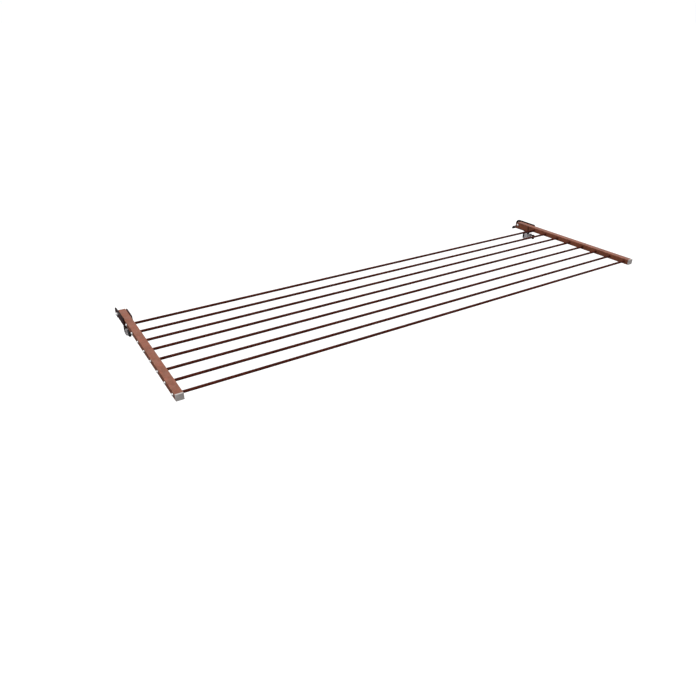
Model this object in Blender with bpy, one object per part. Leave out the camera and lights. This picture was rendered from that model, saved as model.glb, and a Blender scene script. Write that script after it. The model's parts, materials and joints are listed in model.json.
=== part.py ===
"""Clothes drying rack that clamps onto a balcony handrail and folds up against it.

Eight round rods join two rectangular arms. Each arm swings on a pivot bolt in a channel
bracket. The bracket stands on top of the handrail, hooks behind it with a rear lip, and is
drawn tight by a jaw that two clamp screws push against the handrail's front face.

Frame: X runs along the rods, -Y points outward, away from the balcony, and +Z is up.
The origin is on the handrail's top face, halfway between the two brackets and 10 mm in front
of the handrail's middle line. The pivots are straight above that line.
"""

import math

import bmesh
import bpy
from mathutils import Matrix, Vector

MM = 0.001
GAP = 0.3 * MM                    # clearance between pieces that rest on each other

# Rack
ROD_COUNT = 8
ROD_PITCH = 72 * MM
ROD_RADIUS = 4.5 * MM
ROD_BORE_RADIUS = 2.1 * MM
ROD_SCREW_HOLE = 2.2 * MM
SCREW_HEAD_RADIUS = 4.8 * MM
SCREW_HEAD_HEIGHT = 4 * MM
ARM_SPACING = 1961 * MM           # between the middle planes of the two arms
ARM_WIDTH = 25 * MM
ARM_HEIGHT = 22 * MM
ARM_WALL = 1.5 * MM
ARM_CORNER = 1.2 * MM
FRONT_OVERHANG = 23 * MM          # arm beyond the outermost rod
REAR_OVERHANG = 113 * MM          # arm behind the innermost rod
FRONT_CAP_SKIRT = 4.7 * MM
REAR_CAP_SKIRT = 1.7 * MM

# Handrail that the brackets fit
HANDRAIL_REAR = 47 * MM
HANDRAIL_FRONT = -27 * MM

# Bracket channel
PIVOT_Y = 10 * MM
PIVOT_Z = 22 * MM
PIVOT_INSET = 9 * MM              # from the pivot to the arm's rear end
SHEET = 3 * MM
CHANNEL_HALF_WIDTH = 17.5 * MM
CHANNEL_TOP = 37 * MM
CHANNEL_FRONT = -70 * MM
CHANNEL_REAR = 52 * MM
INNER_EAR_FRONT = -57 * MM
INNER_EAR_REAR = 21 * MM
INNER_EAR_TOP = 34 * MM
BASE_BOTTOM = 2.2 * MM
BASE_TOP = BASE_BOTTOM + SHEET
TONGUE_INNER = -7 * MM            # inner side of the narrower base behind the ear
TONGUE_FRONT = INNER_EAR_REAR + 3 * MM
LIP_OUTER = 13 * MM
LIP_BOTTOM = -6 * MM
PAD_THICKNESS = 1.9 * MM
PAD_MARGIN = 1 * MM               # from the foot pad's edges to those of the handrail and base

# Pivot
BOLT_RADIUS = 3 * MM
BOLT_HOLE_RADIUS = 3.4 * MM
BUSH_RADIUS = 6 * MM

# Clamp
HANGER_INNER = -CHANNEL_HALF_WIDTH
HANGER_OUTER = 15 * MM
HANGER_REAR = -30 * MM
HANGER_FRONT = -60 * MM
HANGER_BOTTOM = -34 * MM
WEB_REAR = -41 * MM               # rear edge of the web beside the jaw
WEB_NECK = -50 * MM               # where the web's round shoulder meets the top flange
WEB_SHOULDER_TOP = -4 * MM
WEB_HOLE = (-47 * MM, -24 * MM)
FRONT_FLANGE_TOP = -8 * MM
HANGER_SCREW_Y = -47 * MM
JAW_HALF_WIDTH = 13.5 * MM
JAW_FRONT = -46 * MM
JAW_BOTTOM = -37 * MM
CROWN_RADIUS = 18 * MM            # round top of the jaw's rubber facing
CROWN_Z = -20 * MM
FACING = 6 * MM                   # rubber strip on the jaw's gripping side
CLAMP_SCREW_HEIGHTS = {"upper": -14 * MM, "lower": -26 * MM}
CLAMP_SCREW_OUTWARD = 6 * MM      # from the arm's middle plane
CLAMP_SCREW_RADIUS = 3.1 * MM
CLAMP_SCREW_FRONT = -82 * MM
NUT_FLATS = 10 * MM
KNOB_LENGTH = 9 * MM
NECK_RADIUS = 1.9 * MM
NECK_LENGTH = 2.4 * MM
COLLAR_LENGTH = 2 * MM            # screw end held in the jaw's slot

ARM_X = ARM_SPACING / 2
ARM_REAR = PIVOT_Y + PIVOT_INSET
LIP_REAR = CHANNEL_REAR - 0.1 * MM
ARM_BOTTOM = PIVOT_Z - ARM_HEIGHT / 2
FIRST_ROD_Y = ARM_REAR - REAR_OVERHANG
ROD_PLACES = [FIRST_ROD_Y - i * ROD_PITCH for i in range(ROD_COUNT)]
ARM_FRONT = ROD_PLACES[-1] - FRONT_OVERHANG
TUBE_FRONT = ARM_FRONT + FRONT_CAP_SKIRT + GAP
TUBE_REAR = ARM_REAR - REAR_CAP_SKIRT - GAP
HALF_ARM = ARM_WIDTH / 2
HOLLOW_HALF_WIDTH = HALF_ARM - ARM_WALL
HOLLOW_HALF_HEIGHT = ARM_HEIGHT / 2 - ARM_WALL
HANGER_TOP = BASE_BOTTOM - GAP
SLOT_MOUTH = JAW_FRONT + 1.7 * MM  # front face of the slot that holds a clamp screw's collar


# ---------------------------------------------------------------- scene and materials

def clear_scene():
    """Remove every object from the scene."""
    for thing in list(bpy.data.objects):
        bpy.data.objects.remove(thing, do_unlink=True)


def make_material(name, colour, roughness, metallic):
    """A Principled BSDF material."""
    material = bpy.data.materials.new(name)
    material.use_nodes = True
    shader = material.node_tree.nodes["Principled BSDF"]
    shader.inputs["Base Color"].default_value = (*colour, 1)
    shader.inputs["Roughness"].default_value = roughness
    shader.inputs["Metallic"].default_value = metallic
    return material


def make_materials():
    """All the finishes, by name."""
    finishes = {
        "arm_brown": ((0.23, 0.11, 0.08), 0.45, 0.2),
        "rod_brown": ((0.12, 0.055, 0.045), 0.4, 0.2),
        "bracket_brown": ((0.10, 0.05, 0.042), 0.45, 0.3),
        "cap_grey": ((0.42, 0.43, 0.42), 0.5, 0.0),
        "cap_brown": ((0.10, 0.06, 0.045), 0.5, 0.0),
        "screw_silver": ((0.75, 0.75, 0.73), 0.25, 1.0),
        "clamp_grey": ((0.55, 0.54, 0.54), 0.4, 0.6),
        "jaw_grey": ((0.11, 0.115, 0.11), 0.5, 0.2),
        "dark_steel": ((0.10, 0.10, 0.10), 0.4, 0.9),
        "rubber_black": ((0.02, 0.02, 0.02), 0.8, 0.0),
        "knob_black": ((0.025, 0.025, 0.025), 0.5, 0.0),
        "nylon_white": ((0.75, 0.74, 0.70), 0.5, 0.0),
    }
    return {name: make_material(name, *values) for name, values in finishes.items()}


def make_empty(name, place):
    """An empty that carries pieces moving together, with its origin on their joint."""
    empty = bpy.data.objects.new(name, None)
    empty.empty_display_size = 0.03
    empty.location = place
    bpy.context.collection.objects.link(empty)
    return empty


def even_normals():
    """Shade the flat faces of every cut piece as flat, up to its rounded corners."""
    for part in bpy.data.objects:
        if part.modifiers:
            part.modifiers.new("even_normals", "WEIGHTED_NORMAL").keep_sharp = True


def add_part(name, mesh, material, origin, parent=None):
    """Turn a bmesh drawn in world coordinates into an object with the given origin."""
    origin = Vector(origin)
    bmesh.ops.recalc_face_normals(mesh, faces=mesh.faces)
    bmesh.ops.transform(mesh, matrix=Matrix.Translation(-origin), verts=mesh.verts)
    data = bpy.data.meshes.new(name)
    mesh.to_mesh(data)
    mesh.free()
    data.materials.append(material)
    data.shade_smooth()
    data.set_sharp_from_angle(angle=math.radians(32))
    part = bpy.data.objects.new(name, data)
    bpy.context.collection.objects.link(part)
    part.location = origin
    if parent is not None:
        part.parent = parent
        part.location = origin - parent.location
    return part


def boolean(part, mesh, label, operation="DIFFERENCE"):
    """Cut a part with, or join it to, a hidden body drawn in world coordinates."""
    tool_origin = part.location if part.parent is None else part.location + part.parent.location
    tool = add_part(f"{part.name}_{label}", mesh, part.data.materials[0], tool_origin)
    tool.hide_render = True
    tool.display_type = "WIRE"
    modifier = part.modifiers.new(label, "BOOLEAN")
    modifier.operation = operation
    modifier.solver = "EXACT"
    modifier.object = tool


# ---------------------------------------------------------------- shape helpers

AXES = {"X": Vector((1, 0, 0)), "Y": Vector((0, 1, 0)), "Z": Vector((0, 0, 1))}


def on_axis(axis, along, first, second):
    """A point at a distance along one axis, with the other two in X, Y, Z order."""
    return {
        "X": Vector((along, first, second)),
        "Y": Vector((first, along, second)),
        "Z": Vector((first, second, along)),
    }[axis]


def prism(mesh, outline, axis, low, high):
    """Extrude a closed outline along an axis, from low to high."""
    bottom = [mesh.verts.new(on_axis(axis, low, a, b)) for a, b in outline]
    face = mesh.faces.new(bottom)
    grown = bmesh.ops.extrude_face_region(mesh, geom=[face])
    top = [item for item in grown["geom"] if isinstance(item, bmesh.types.BMVert)]
    bmesh.ops.translate(mesh, verts=top, vec=AXES[axis] * (high - low))


def block(mesh, x, y, z):
    """A box between the two limits given for each axis."""
    outline = [(y[0], z[0]), (y[1], z[0]), (y[1], z[1]), (y[0], z[1])]
    prism(mesh, outline, "X", x[0], x[1])


def arc(centre, radius, start, end, steps):
    """Points along an arc, angles in degrees."""
    angles = [math.radians(start + (end - start) * i / steps) for i in range(steps + 1)]
    return [(centre[0] + radius * math.cos(t), centre[1] + radius * math.sin(t)) for t in angles]


def rounded_rectangle(half_width, half_height, radius, centre=(0, 0), steps=2):
    """The outline of a rectangle with round corners."""
    points = []
    corners = [(1, 1, 0), (-1, 1, 90), (-1, -1, 180), (1, -1, 270)]
    for side, up, start in corners:
        middle = (
            centre[0] + side * (half_width - radius),
            centre[1] + up * (half_height - radius),
        )
        points += arc(middle, radius, start, start + 90, steps)
    return points


def turned(mesh, axis, centre, profile, segments):
    """Turn a profile of (radius, distance along the axis) points round an axis.

    A profile that starts and ends at radius 0 is a solid of revolution; any other is closed
    back onto its first point and makes a ring.
    """
    rings = []
    for radius, along in profile:
        if radius == 0:
            rings.append([mesh.verts.new(on_axis(axis, along, *centre))])
            continue
        circle = arc(centre, radius, 0, 360, segments)[:-1]
        rings.append([mesh.verts.new(on_axis(axis, along, a, b)) for a, b in circle])
    pairs = list(zip(rings, rings[1:]))
    if profile[0][0] != 0:
        pairs.append((rings[-1], rings[0]))
    for near, far in pairs:
        for i in range(segments):
            j = (i + 1) % segments
            corners = [near[i % len(near)], near[j % len(near)], far[j % len(far)], far[i % len(far)]]
            mesh.faces.new(list(dict.fromkeys(corners)))


def cylinder(mesh, axis, centre, radius, low, high, segments=16):
    """A plain round bar."""
    turned(mesh, axis, centre, [(0, low), (radius, low), (radius, high), (0, high)], segments)


def ring(mesh, axis, centre, inner, outer, low, high, segments=16):
    """A plain round tube."""
    profile = [(inner, low), (outer, low), (outer, high), (inner, high)]
    turned(mesh, axis, centre, profile, segments)


def hexagon(across_flats, centre):
    """The outline of a hexagonal nut, with two flats level."""
    corner = across_flats / 2 / math.cos(math.radians(30))
    return arc(centre, corner, 0, 360, 6)[:-1]


def lobed_outline(centre, radius, depth, lobes, steps_per_lobe):
    """A round grip with shallow lobes."""
    count = lobes * steps_per_lobe
    points = []
    for i in range(count):
        turn = 2 * math.pi * i / count
        reach = radius - depth / 2 + depth / 2 * math.cos(lobes * turn)
        points.append((centre[0] + reach * math.cos(turn), centre[1] + reach * math.sin(turn)))
    return points


def cut_corner(mesh, corner, radius, side, low, high):
    """A cutter that rounds off an upper corner of a cheek; side is -1 in front, 1 behind."""
    y, z = corner
    over = 2 * MM
    centre = (y - side * radius, z - radius)
    start = 0 if side > 0 else 180
    outline = arc(centre, radius, start, 90, 8)
    outline += [(centre[0], z + over), (y + side * over, z + over), (y + side * over, centre[1])]
    prism(mesh, outline, "X", low, high)


def countersunk_hole(mesh, centre, top, bottom):
    """A cutter for an M5 countersunk screw that goes in from above."""
    profile = [
        (0, bottom - 1 * MM),
        (2.8 * MM, bottom - 1 * MM),
        (2.8 * MM, top - 2.2 * MM),
        (5.3 * MM, top + 0.3 * MM),
        (0, top + 0.3 * MM),
    ]
    turned(mesh, "Z", centre, profile, 16)


class Station:
    """One end of the rack: turns distances from the arm's middle plane into X.

    Distances are positive away from the middle of the rack, so the same calls draw the
    left and the right end as mirror images.
    """

    def __init__(self, side, sign):
        self.side = side
        self.sign = sign
        self.x = sign * ARM_X

    def name(self, part):
        return f"{self.side}_{part}"

    def span(self, near, far):
        """The two X limits between two distances from the arm's middle plane, in order."""
        return tuple(sorted((self.x + self.sign * near, self.x + self.sign * far)))

    def both_ways(self, half_width):
        return self.span(-half_width, half_width)

    def section(self, points):
        """An outline whose first coordinate is a distance from the arm's middle plane."""
        return [(self.x + self.sign * along, other) for along, other in points]

    def profile(self, points):
        """A turned profile whose distances run outward from the arm's middle plane."""
        return [(radius, self.x + self.sign * along) for radius, along in points]

    def clamp_screw_axis(self, level):
        """X and Z of a clamp screw's axis."""
        return (self.x + self.sign * CLAMP_SCREW_OUTWARD, CLAMP_SCREW_HEIGHTS[level])

    def point(self, y, z):
        return (self.x, y, z)


# ---------------------------------------------------------------- the rack

def build_arm(station, paint, pivot):
    """Rectangular tube with a hole for each rod, each rod screw and the pivot bushes."""
    mesh = bmesh.new()
    outline = rounded_rectangle(HALF_ARM, ARM_HEIGHT / 2, ARM_CORNER, (station.x, PIVOT_Z), 3)
    prism(mesh, outline, "Y", TUBE_FRONT, TUBE_REAR)
    arm = add_part(station.name("arm"), mesh, paint, station.point(PIVOT_Y, PIVOT_Z), pivot)

    hollow = bmesh.new()
    block(
        hollow,
        station.both_ways(HOLLOW_HALF_WIDTH),
        (TUBE_FRONT - 5 * MM, TUBE_REAR + 5 * MM),
        (PIVOT_Z - HOLLOW_HALF_HEIGHT, PIVOT_Z + HOLLOW_HALF_HEIGHT),
    )
    boolean(arm, hollow, "hollow")

    holes = bmesh.new()
    clear = 2 * MM
    inner_wall = station.span(-HALF_ARM - clear, -HOLLOW_HALF_WIDTH + clear)
    outer_wall = station.span(HOLLOW_HALF_WIDTH - clear, HALF_ARM + clear)
    for y in ROD_PLACES:
        cylinder(holes, "X", (y, PIVOT_Z), ROD_RADIUS + GAP, *inner_wall, 20)
        cylinder(holes, "X", (y, PIVOT_Z), ROD_SCREW_HOLE, *outer_wall, 12)
    for wall in (inner_wall, outer_wall):
        cylinder(holes, "X", (PIVOT_Y, PIVOT_Z), BUSH_RADIUS + GAP, *wall, 20)
    boolean(arm, holes, "holes")


def build_front_cap(station, paint, pivot):
    """Moulded end cap: a skirt flush with the tube and a hollow plug inside it."""
    mesh = bmesh.new()
    middle = (station.x, PIVOT_Z)
    skirt_end = ARM_FRONT + FRONT_CAP_SKIRT
    outline = rounded_rectangle(HALF_ARM, ARM_HEIGHT / 2, ARM_CORNER, middle, 3)
    prism(mesh, outline, "Y", ARM_FRONT + 0.8 * MM, skirt_end)
    cap = add_part(station.name("front_cap"), mesh, paint, station.point(ARM_FRONT, PIVOT_Z), pivot)

    face = bmesh.new()
    softened = rounded_rectangle(HALF_ARM - 0.8 * MM, ARM_HEIGHT / 2 - 0.8 * MM, ARM_CORNER, middle, 3)
    prism(face, softened, "Y", ARM_FRONT, ARM_FRONT + 2 * MM)
    boolean(cap, face, "face", "UNION")

    plug = bmesh.new()
    plug_outline = rounded_rectangle(
        HOLLOW_HALF_WIDTH - GAP, HOLLOW_HALF_HEIGHT - GAP, 0.6 * MM, middle, 1
    )
    prism(plug, plug_outline, "Y", skirt_end - 1 * MM, skirt_end + 11 * MM)
    boolean(cap, plug, "plug", "UNION")

    recess = bmesh.new()
    wall = 1.6 * MM
    block(
        recess,
        station.both_ways(HOLLOW_HALF_WIDTH - GAP - wall),
        (ARM_FRONT + 2.5 * MM, skirt_end + 12 * MM),
        (PIVOT_Z - HOLLOW_HALF_HEIGHT + GAP + wall, PIVOT_Z + HOLLOW_HALF_HEIGHT - GAP - wall),
    )
    boolean(cap, recess, "recess")


def build_rear_cap(station, paint, pivot):
    """Thin end plate held by a tongue along the top wall and one along the bottom wall."""
    mesh = bmesh.new()
    middle = (station.x, PIVOT_Z)
    outline = rounded_rectangle(HALF_ARM, ARM_HEIGHT / 2, ARM_CORNER, middle, 3)
    prism(mesh, outline, "Y", ARM_REAR - REAR_CAP_SKIRT, ARM_REAR)
    cap = add_part(station.name("rear_cap"), mesh, paint, station.point(ARM_REAR, PIVOT_Z), pivot)

    tongues = bmesh.new()
    reach = HOLLOW_HALF_HEIGHT - GAP
    for up in (-1, 1):
        heights = sorted((PIVOT_Z + up * reach, PIVOT_Z + up * (reach - 1.5 * MM)))
        block(
            tongues,
            station.both_ways(HOLLOW_HALF_WIDTH - 1.5 * MM),
            (ARM_REAR - REAR_CAP_SKIRT - 10 * MM, ARM_REAR - 1 * MM),
            heights,
        )
    boolean(cap, tongues, "tongues", "UNION")


def build_rods(paint, pivot):
    """Tubular rods whose ends pass through the arms' inner walls."""
    reach = ARM_X + HOLLOW_HALF_WIDTH - GAP
    for number, y in enumerate(ROD_PLACES, start=1):
        mesh = bmesh.new()
        ring(mesh, "X", (y, PIVOT_Z), ROD_BORE_RADIUS, ROD_RADIUS, -reach, reach, 24)
        add_part(f"rod_{number}", mesh, paint, (0, y, PIVOT_Z), pivot)


def build_rod_screws(station, paint, pivot):
    """Domed screws through the arm's outer wall into the bore of each rod."""
    seat = HALF_ARM + GAP
    profile = [
        (0, seat + SCREW_HEAD_HEIGHT),
        (0.52 * SCREW_HEAD_RADIUS, seat + 0.85 * SCREW_HEAD_HEIGHT),
        (0.88 * SCREW_HEAD_RADIUS, seat + 0.45 * SCREW_HEAD_HEIGHT),
        (SCREW_HEAD_RADIUS, seat),
        (1.7 * MM, seat),
        (1.7 * MM, seat - 12 * MM),
        (0, seat - 13.5 * MM),
    ]
    for number, y in enumerate(ROD_PLACES, start=1):
        mesh = bmesh.new()
        turned(mesh, "X", (y, PIVOT_Z), station.profile(profile), 12)
        place = (station.x + station.sign * seat, y, PIVOT_Z)
        add_part(station.name(f"rod_screw_{number}"), mesh, paint, place, pivot)


def build_pivot_bush(station, paint, pivot):
    """Nylon bush through both walls of the arm, which also keeps it clear of the cheeks."""
    mesh = bmesh.new()
    limits = station.both_ways(CHANNEL_HALF_WIDTH - SHEET - GAP)
    ring(mesh, "X", (PIVOT_Y, PIVOT_Z), BOLT_HOLE_RADIUS, BUSH_RADIUS, *limits)
    add_part(station.name("pivot_bush"), mesh, paint, station.point(PIVOT_Y, PIVOT_Z), pivot)


# ---------------------------------------------------------------- the brackets

def build_bracket(station, paint):
    """Bent sheet channel: outer cheek, base, shorter inner ear, and a tongue with a rear lip."""
    mesh = bmesh.new()
    half = CHANNEL_HALF_WIDTH
    bend = 4 * MM
    inside_bend = bend - SHEET
    outline = [(-half, CHANNEL_TOP)]
    outline += arc((-half + bend, BASE_BOTTOM + bend), bend, 180, 270, 4)
    outline += arc((half - bend, BASE_BOTTOM + bend), bend, 270, 360, 4)
    outline += [(half, CHANNEL_TOP), (half - SHEET, CHANNEL_TOP)]
    outline += arc((half - bend, BASE_BOTTOM + bend), inside_bend, 360, 270, 2)
    outline += arc((-half + bend, BASE_BOTTOM + bend), inside_bend, 270, 180, 2)
    outline += [(-half + SHEET, CHANNEL_TOP)]
    prism(mesh, station.section(outline), "Y", CHANNEL_FRONT, CHANNEL_REAR)
    bracket = add_part(station.name("bracket"), mesh, paint, station.point(PIVOT_Y, PIVOT_Z))

    corners = bmesh.new()
    outer = station.span(half - bend, half + bend)
    cut_corner(corners, (CHANNEL_FRONT, CHANNEL_TOP), 5 * MM, -1, *outer)
    cut_corner(corners, (CHANNEL_REAR, CHANNEL_TOP), 20 * MM, 1, *outer)
    boolean(bracket, corners, "outer_corners")

    ear = bmesh.new()
    shoulder = BASE_BOTTOM + bend
    beyond = 3 * MM
    gap_outline = [
        (CHANNEL_FRONT - beyond, shoulder),
        (INNER_EAR_FRONT, shoulder),
    ]
    gap_outline += arc((INNER_EAR_FRONT + 5 * MM, INNER_EAR_TOP - 5 * MM), 5 * MM, 180, 90, 4)
    gap_outline += arc((INNER_EAR_REAR - 11 * MM, INNER_EAR_TOP - 11 * MM), 11 * MM, 90, 0, 8)
    gap_outline += [
        (INNER_EAR_REAR, shoulder),
        (CHANNEL_REAR + beyond, shoulder),
        (CHANNEL_REAR + beyond, CHANNEL_TOP + beyond),
        (CHANNEL_FRONT - beyond, CHANNEL_TOP + beyond),
    ]
    prism(ear, gap_outline, "X", *station.span(-half - bend, -half + bend))
    boolean(bracket, ear, "inner_ear")

    beside_tongue = bmesh.new()
    block(
        beside_tongue,
        station.span(-half - beyond, TONGUE_INNER),
        (TONGUE_FRONT, CHANNEL_REAR + beyond),
        (BASE_BOTTOM - beyond, shoulder + beyond),
    )
    boolean(bracket, beside_tongue, "beside_tongue")

    lip = bmesh.new()
    inset = 0.1 * MM
    block(
        lip,
        station.span(TONGUE_INNER + inset, LIP_OUTER),
        (LIP_REAR - SHEET, LIP_REAR),
        (LIP_BOTTOM, BASE_TOP - 1 * MM),
    )
    boolean(bracket, lip, "lip", "UNION")

    holes = bmesh.new()
    cylinder(holes, "X", (PIVOT_Y, PIVOT_Z), BOLT_HOLE_RADIUS, *station.both_ways(half + bend))
    countersunk_hole(holes, (station.x, HANGER_SCREW_Y), BASE_TOP, BASE_BOTTOM)
    boolean(bracket, holes, "holes")


def build_foot_pad(station, paint):
    """Rubber sheet between the base and the handrail."""
    mesh = bmesh.new()
    block(
        mesh,
        station.span(TONGUE_INNER + PAD_MARGIN, CHANNEL_HALF_WIDTH - 3 * MM),
        (HANDRAIL_FRONT + PAD_MARGIN, HANDRAIL_REAR - PAD_MARGIN),
        (0, PAD_THICKNESS),
    )
    add_part(station.name("foot_pad"), mesh, paint, station.point(0, 0))


def build_lip_sleeve(station, paint):
    """Rubber pocket pushed over the lip, bearing on the handrail's rear face."""
    mesh = bmesh.new()
    wall = 2 * MM
    half_width = (LIP_OUTER - TONGUE_INNER) / 2 + wall
    half_depth = 3.6 * MM
    middle = station.x + station.sign * (LIP_OUTER + TONGUE_INNER) / 2
    bottom = LIP_BOTTOM - 2.3 * MM
    outline = rounded_rectangle(half_width, half_depth, 1.2 * MM, (middle, HANDRAIL_REAR + half_depth))
    prism(mesh, outline, "Z", bottom, -GAP)
    sleeve = add_part(station.name("lip_sleeve"), mesh, paint, station.point(HANDRAIL_REAR, bottom))

    pocket = bmesh.new()
    block(
        pocket,
        station.span(TONGUE_INNER - GAP, LIP_OUTER + GAP),
        (LIP_REAR - SHEET - GAP, LIP_REAR + GAP),
        (LIP_BOTTOM - GAP, 2 * MM),
    )
    boolean(sleeve, pocket, "pocket")


def build_pivot_bolt(station, paint):
    """Domed bolt, its head against the inner ear."""
    mesh = bmesh.new()
    seat = CHANNEL_HALF_WIDTH + GAP
    profile = [
        (0, -seat - 4 * MM),
        (3.2 * MM, -seat - 3.6 * MM),
        (5.2 * MM, -seat - 2 * MM),
        (5.8 * MM, -seat),
        (BOLT_RADIUS, -seat),
        (BOLT_RADIUS, seat + 6.6 * MM),
        (2.4 * MM, seat + 7.2 * MM),
        (0, seat + 7.2 * MM),
    ]
    turned(mesh, "X", (PIVOT_Y, PIVOT_Z), station.profile(profile), 16)
    add_part(station.name("pivot_bolt"), mesh, paint, station.point(PIVOT_Y, PIVOT_Z))


def build_pivot_nut(station, paint):
    """Lock nut outside the outer cheek."""
    mesh = bmesh.new()
    low, high = station.span(CHANNEL_HALF_WIDTH + GAP, CHANNEL_HALF_WIDTH + GAP + 5.5 * MM)
    prism(mesh, hexagon(NUT_FLATS, (PIVOT_Y, PIVOT_Z)), "X", low, high)
    nut = add_part(station.name("pivot_nut"), mesh, paint, station.point(PIVOT_Y, PIVOT_Z))
    bore = bmesh.new()
    cylinder(bore, "X", (PIVOT_Y, PIVOT_Z), BOLT_RADIUS + GAP, low - 1 * MM, high + 1 * MM)
    boolean(nut, bore, "bore")


def build_arm_rest(station, paint):
    """Rubber strip across the front of the base that the lowered arm lies on."""
    mesh = bmesh.new()
    front = CHANNEL_FRONT + PAD_MARGIN
    block(
        mesh,
        station.both_ways(11 * MM),
        (front, front + 11 * MM),
        (BASE_TOP + GAP, ARM_BOTTOM - GAP),
    )
    add_part(station.name("arm_rest"), mesh, paint, station.point(front, BASE_TOP))


# ---------------------------------------------------------------- the clamps

def build_hanger(station, paint):
    """Folded plate: a flange under the base, a web down beside the jaw, a flange across its front."""
    mesh = bmesh.new()
    bend = 4 * MM
    edge = (HANGER_INNER + bend, HANGER_TOP - bend)
    outline = [(HANGER_OUTER, HANGER_TOP - SHEET), (HANGER_OUTER, HANGER_TOP)]
    outline += arc(edge, bend, 90, 180, 4)
    outline += [(HANGER_INNER, HANGER_BOTTOM), (HANGER_INNER + SHEET, HANGER_BOTTOM)]
    outline += arc(edge, bend - SHEET, 180, 90, 2)
    prism(mesh, station.section(outline), "Y", HANGER_FRONT + bend, HANGER_REAR)
    hanger = add_part(station.name("hanger"), mesh, paint, station.point(HANGER_FRONT, HANGER_TOP))

    shoulder = bmesh.new()
    beyond = 2 * MM
    radius = WEB_REAR - WEB_NECK
    around_web = [(HANGER_REAR + beyond, HANGER_TOP + beyond), (WEB_NECK, HANGER_TOP + beyond)]
    around_web += arc((WEB_NECK, WEB_SHOULDER_TOP - radius), radius, 90, 0, 6)
    around_web += [(WEB_REAR, HANGER_BOTTOM - beyond), (HANGER_REAR + beyond, HANGER_BOTTOM - beyond)]
    web = station.span(HANGER_INNER - beyond, HANGER_INNER + bend)
    prism(shoulder, around_web, "X", *web)
    cylinder(shoulder, "X", WEB_HOLE, 2.5 * MM, *web, 12)
    boolean(hanger, shoulder, "shoulder")

    flange = bmesh.new()
    skin = 0.05 * MM
    front = HANGER_FRONT + skin
    rear = HANGER_FRONT + SHEET - skin
    corner = (HANGER_INNER + bend, HANGER_FRONT + bend)
    overlap = corner[1] + 3 * MM
    wrap = [(HANGER_OUTER, rear), (HANGER_OUTER, front)]
    wrap += arc(corner, bend - skin, 270, 180, 4)
    wrap += [(HANGER_INNER + skin, overlap), (HANGER_INNER + SHEET - skin, overlap)]
    wrap += arc(corner, bend - SHEET + skin, 180, 270, 2)
    prism(flange, station.section(wrap), "Z", HANGER_BOTTOM + skin, FRONT_FLANGE_TOP)
    boolean(hanger, flange, "front_flange", "UNION")

    nuts = bmesh.new()
    for level in CLAMP_SCREW_HEIGHTS:
        outline = hexagon(NUT_FLATS, station.clamp_screw_axis(level))
        prism(nuts, outline, "Y", HANGER_FRONT - 5 * MM, HANGER_FRONT + 1 * MM)
    boolean(hanger, nuts, "nuts", "UNION")

    holes = bmesh.new()
    limits = (HANGER_FRONT - 7 * MM, HANGER_FRONT + SHEET + 1 * MM)
    for level in CLAMP_SCREW_HEIGHTS:
        axis = station.clamp_screw_axis(level)
        cylinder(holes, "Y", axis, CLAMP_SCREW_RADIUS + GAP, *limits)
    screw_place = (station.x, HANGER_SCREW_Y)
    cylinder(holes, "Z", screw_place, 2.7 * MM, HANGER_TOP - SHEET - 1 * MM, HANGER_TOP + 1 * MM, 12)
    boolean(hanger, holes, "holes")


def build_hanger_screw(station, paint):
    """Countersunk screw that joins the hanger to the bracket's base."""
    mesh = bmesh.new()
    top = BASE_TOP - 0.1 * MM
    bottom = HANGER_TOP - SHEET + 0.2 * MM
    profile = [
        (0, top),
        (4.5 * MM, top),
        (2.4 * MM, top - 2.1 * MM),
        (2.4 * MM, bottom),
        (0, bottom),
    ]
    turned(mesh, "Z", (station.x, HANGER_SCREW_Y), profile, 16)
    add_part(station.name("hanger_screw"), mesh, paint, station.point(HANGER_SCREW_Y, top))


def grip_line(offset):
    """The jaw's gripping side, at a distance from the handrail's surface, from top to bottom."""
    face = HANDRAIL_FRONT - 0.5 * MM
    points = arc((face - CROWN_RADIUS, CROWN_Z), CROWN_RADIUS - offset, 90, 0, 8)
    points.append((face - offset, JAW_BOTTOM + 3 * MM))
    return points


def side_slot(station, z, half):
    """A slot with a round end that opens at the jaw's outer side, seen along Y."""
    mouth = JAW_HALF_WIDTH + 2 * MM
    round_end = arc((CLAMP_SCREW_OUTWARD, z), half, 90, 270, 8)
    return station.section(round_end + [(mouth, z - half), (mouth, z + half)])


def build_jaw(station, paint, carrier):
    """Cast jaw behind the hanger's front flange; clamp screws drop into its side slots."""
    mesh = bmesh.new()
    outline = grip_line(FACING + GAP)
    top = outline[0][1]
    rear = outline[-1][0]
    outline += arc((rear - 3 * MM, JAW_BOTTOM + 3 * MM), 3 * MM, 0, -90, 3)[1:]
    outline += arc((JAW_FRONT + 4 * MM, JAW_BOTTOM + 4 * MM), 4 * MM, 270, 180, 4)
    outline += [(JAW_FRONT, top)]
    prism(mesh, outline, "X", *station.both_ways(JAW_HALF_WIDTH))
    jaw = add_part(station.name("jaw"), mesh, paint, station.point(JAW_FRONT, JAW_BOTTOM), carrier)

    cuts = {
        "collar": (CLAMP_SCREW_RADIUS + GAP, SLOT_MOUTH, SLOT_MOUTH + COLLAR_LENGTH + 2 * GAP),
        "neck": (NECK_RADIUS + GAP, JAW_FRONT - 2 * MM, SLOT_MOUTH + 0.5 * MM),
    }
    for label, (half, low, high) in cuts.items():
        slots = bmesh.new()
        for z in CLAMP_SCREW_HEIGHTS.values():
            prism(slots, side_slot(station, z, half), "Y", low, high)
        boolean(jaw, slots, f"{label}_slots")


def build_jaw_facing(station, paint, carrier):
    """Rubber strip that follows the jaw's gripping side and its round top."""
    mesh = bmesh.new()
    outline = grip_line(0) + grip_line(FACING)[::-1]
    prism(mesh, outline, "X", *station.both_ways(JAW_HALF_WIDTH))
    place = station.point(HANDRAIL_FRONT, JAW_BOTTOM)
    add_part(station.name("jaw_facing"), mesh, paint, place, carrier)


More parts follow.
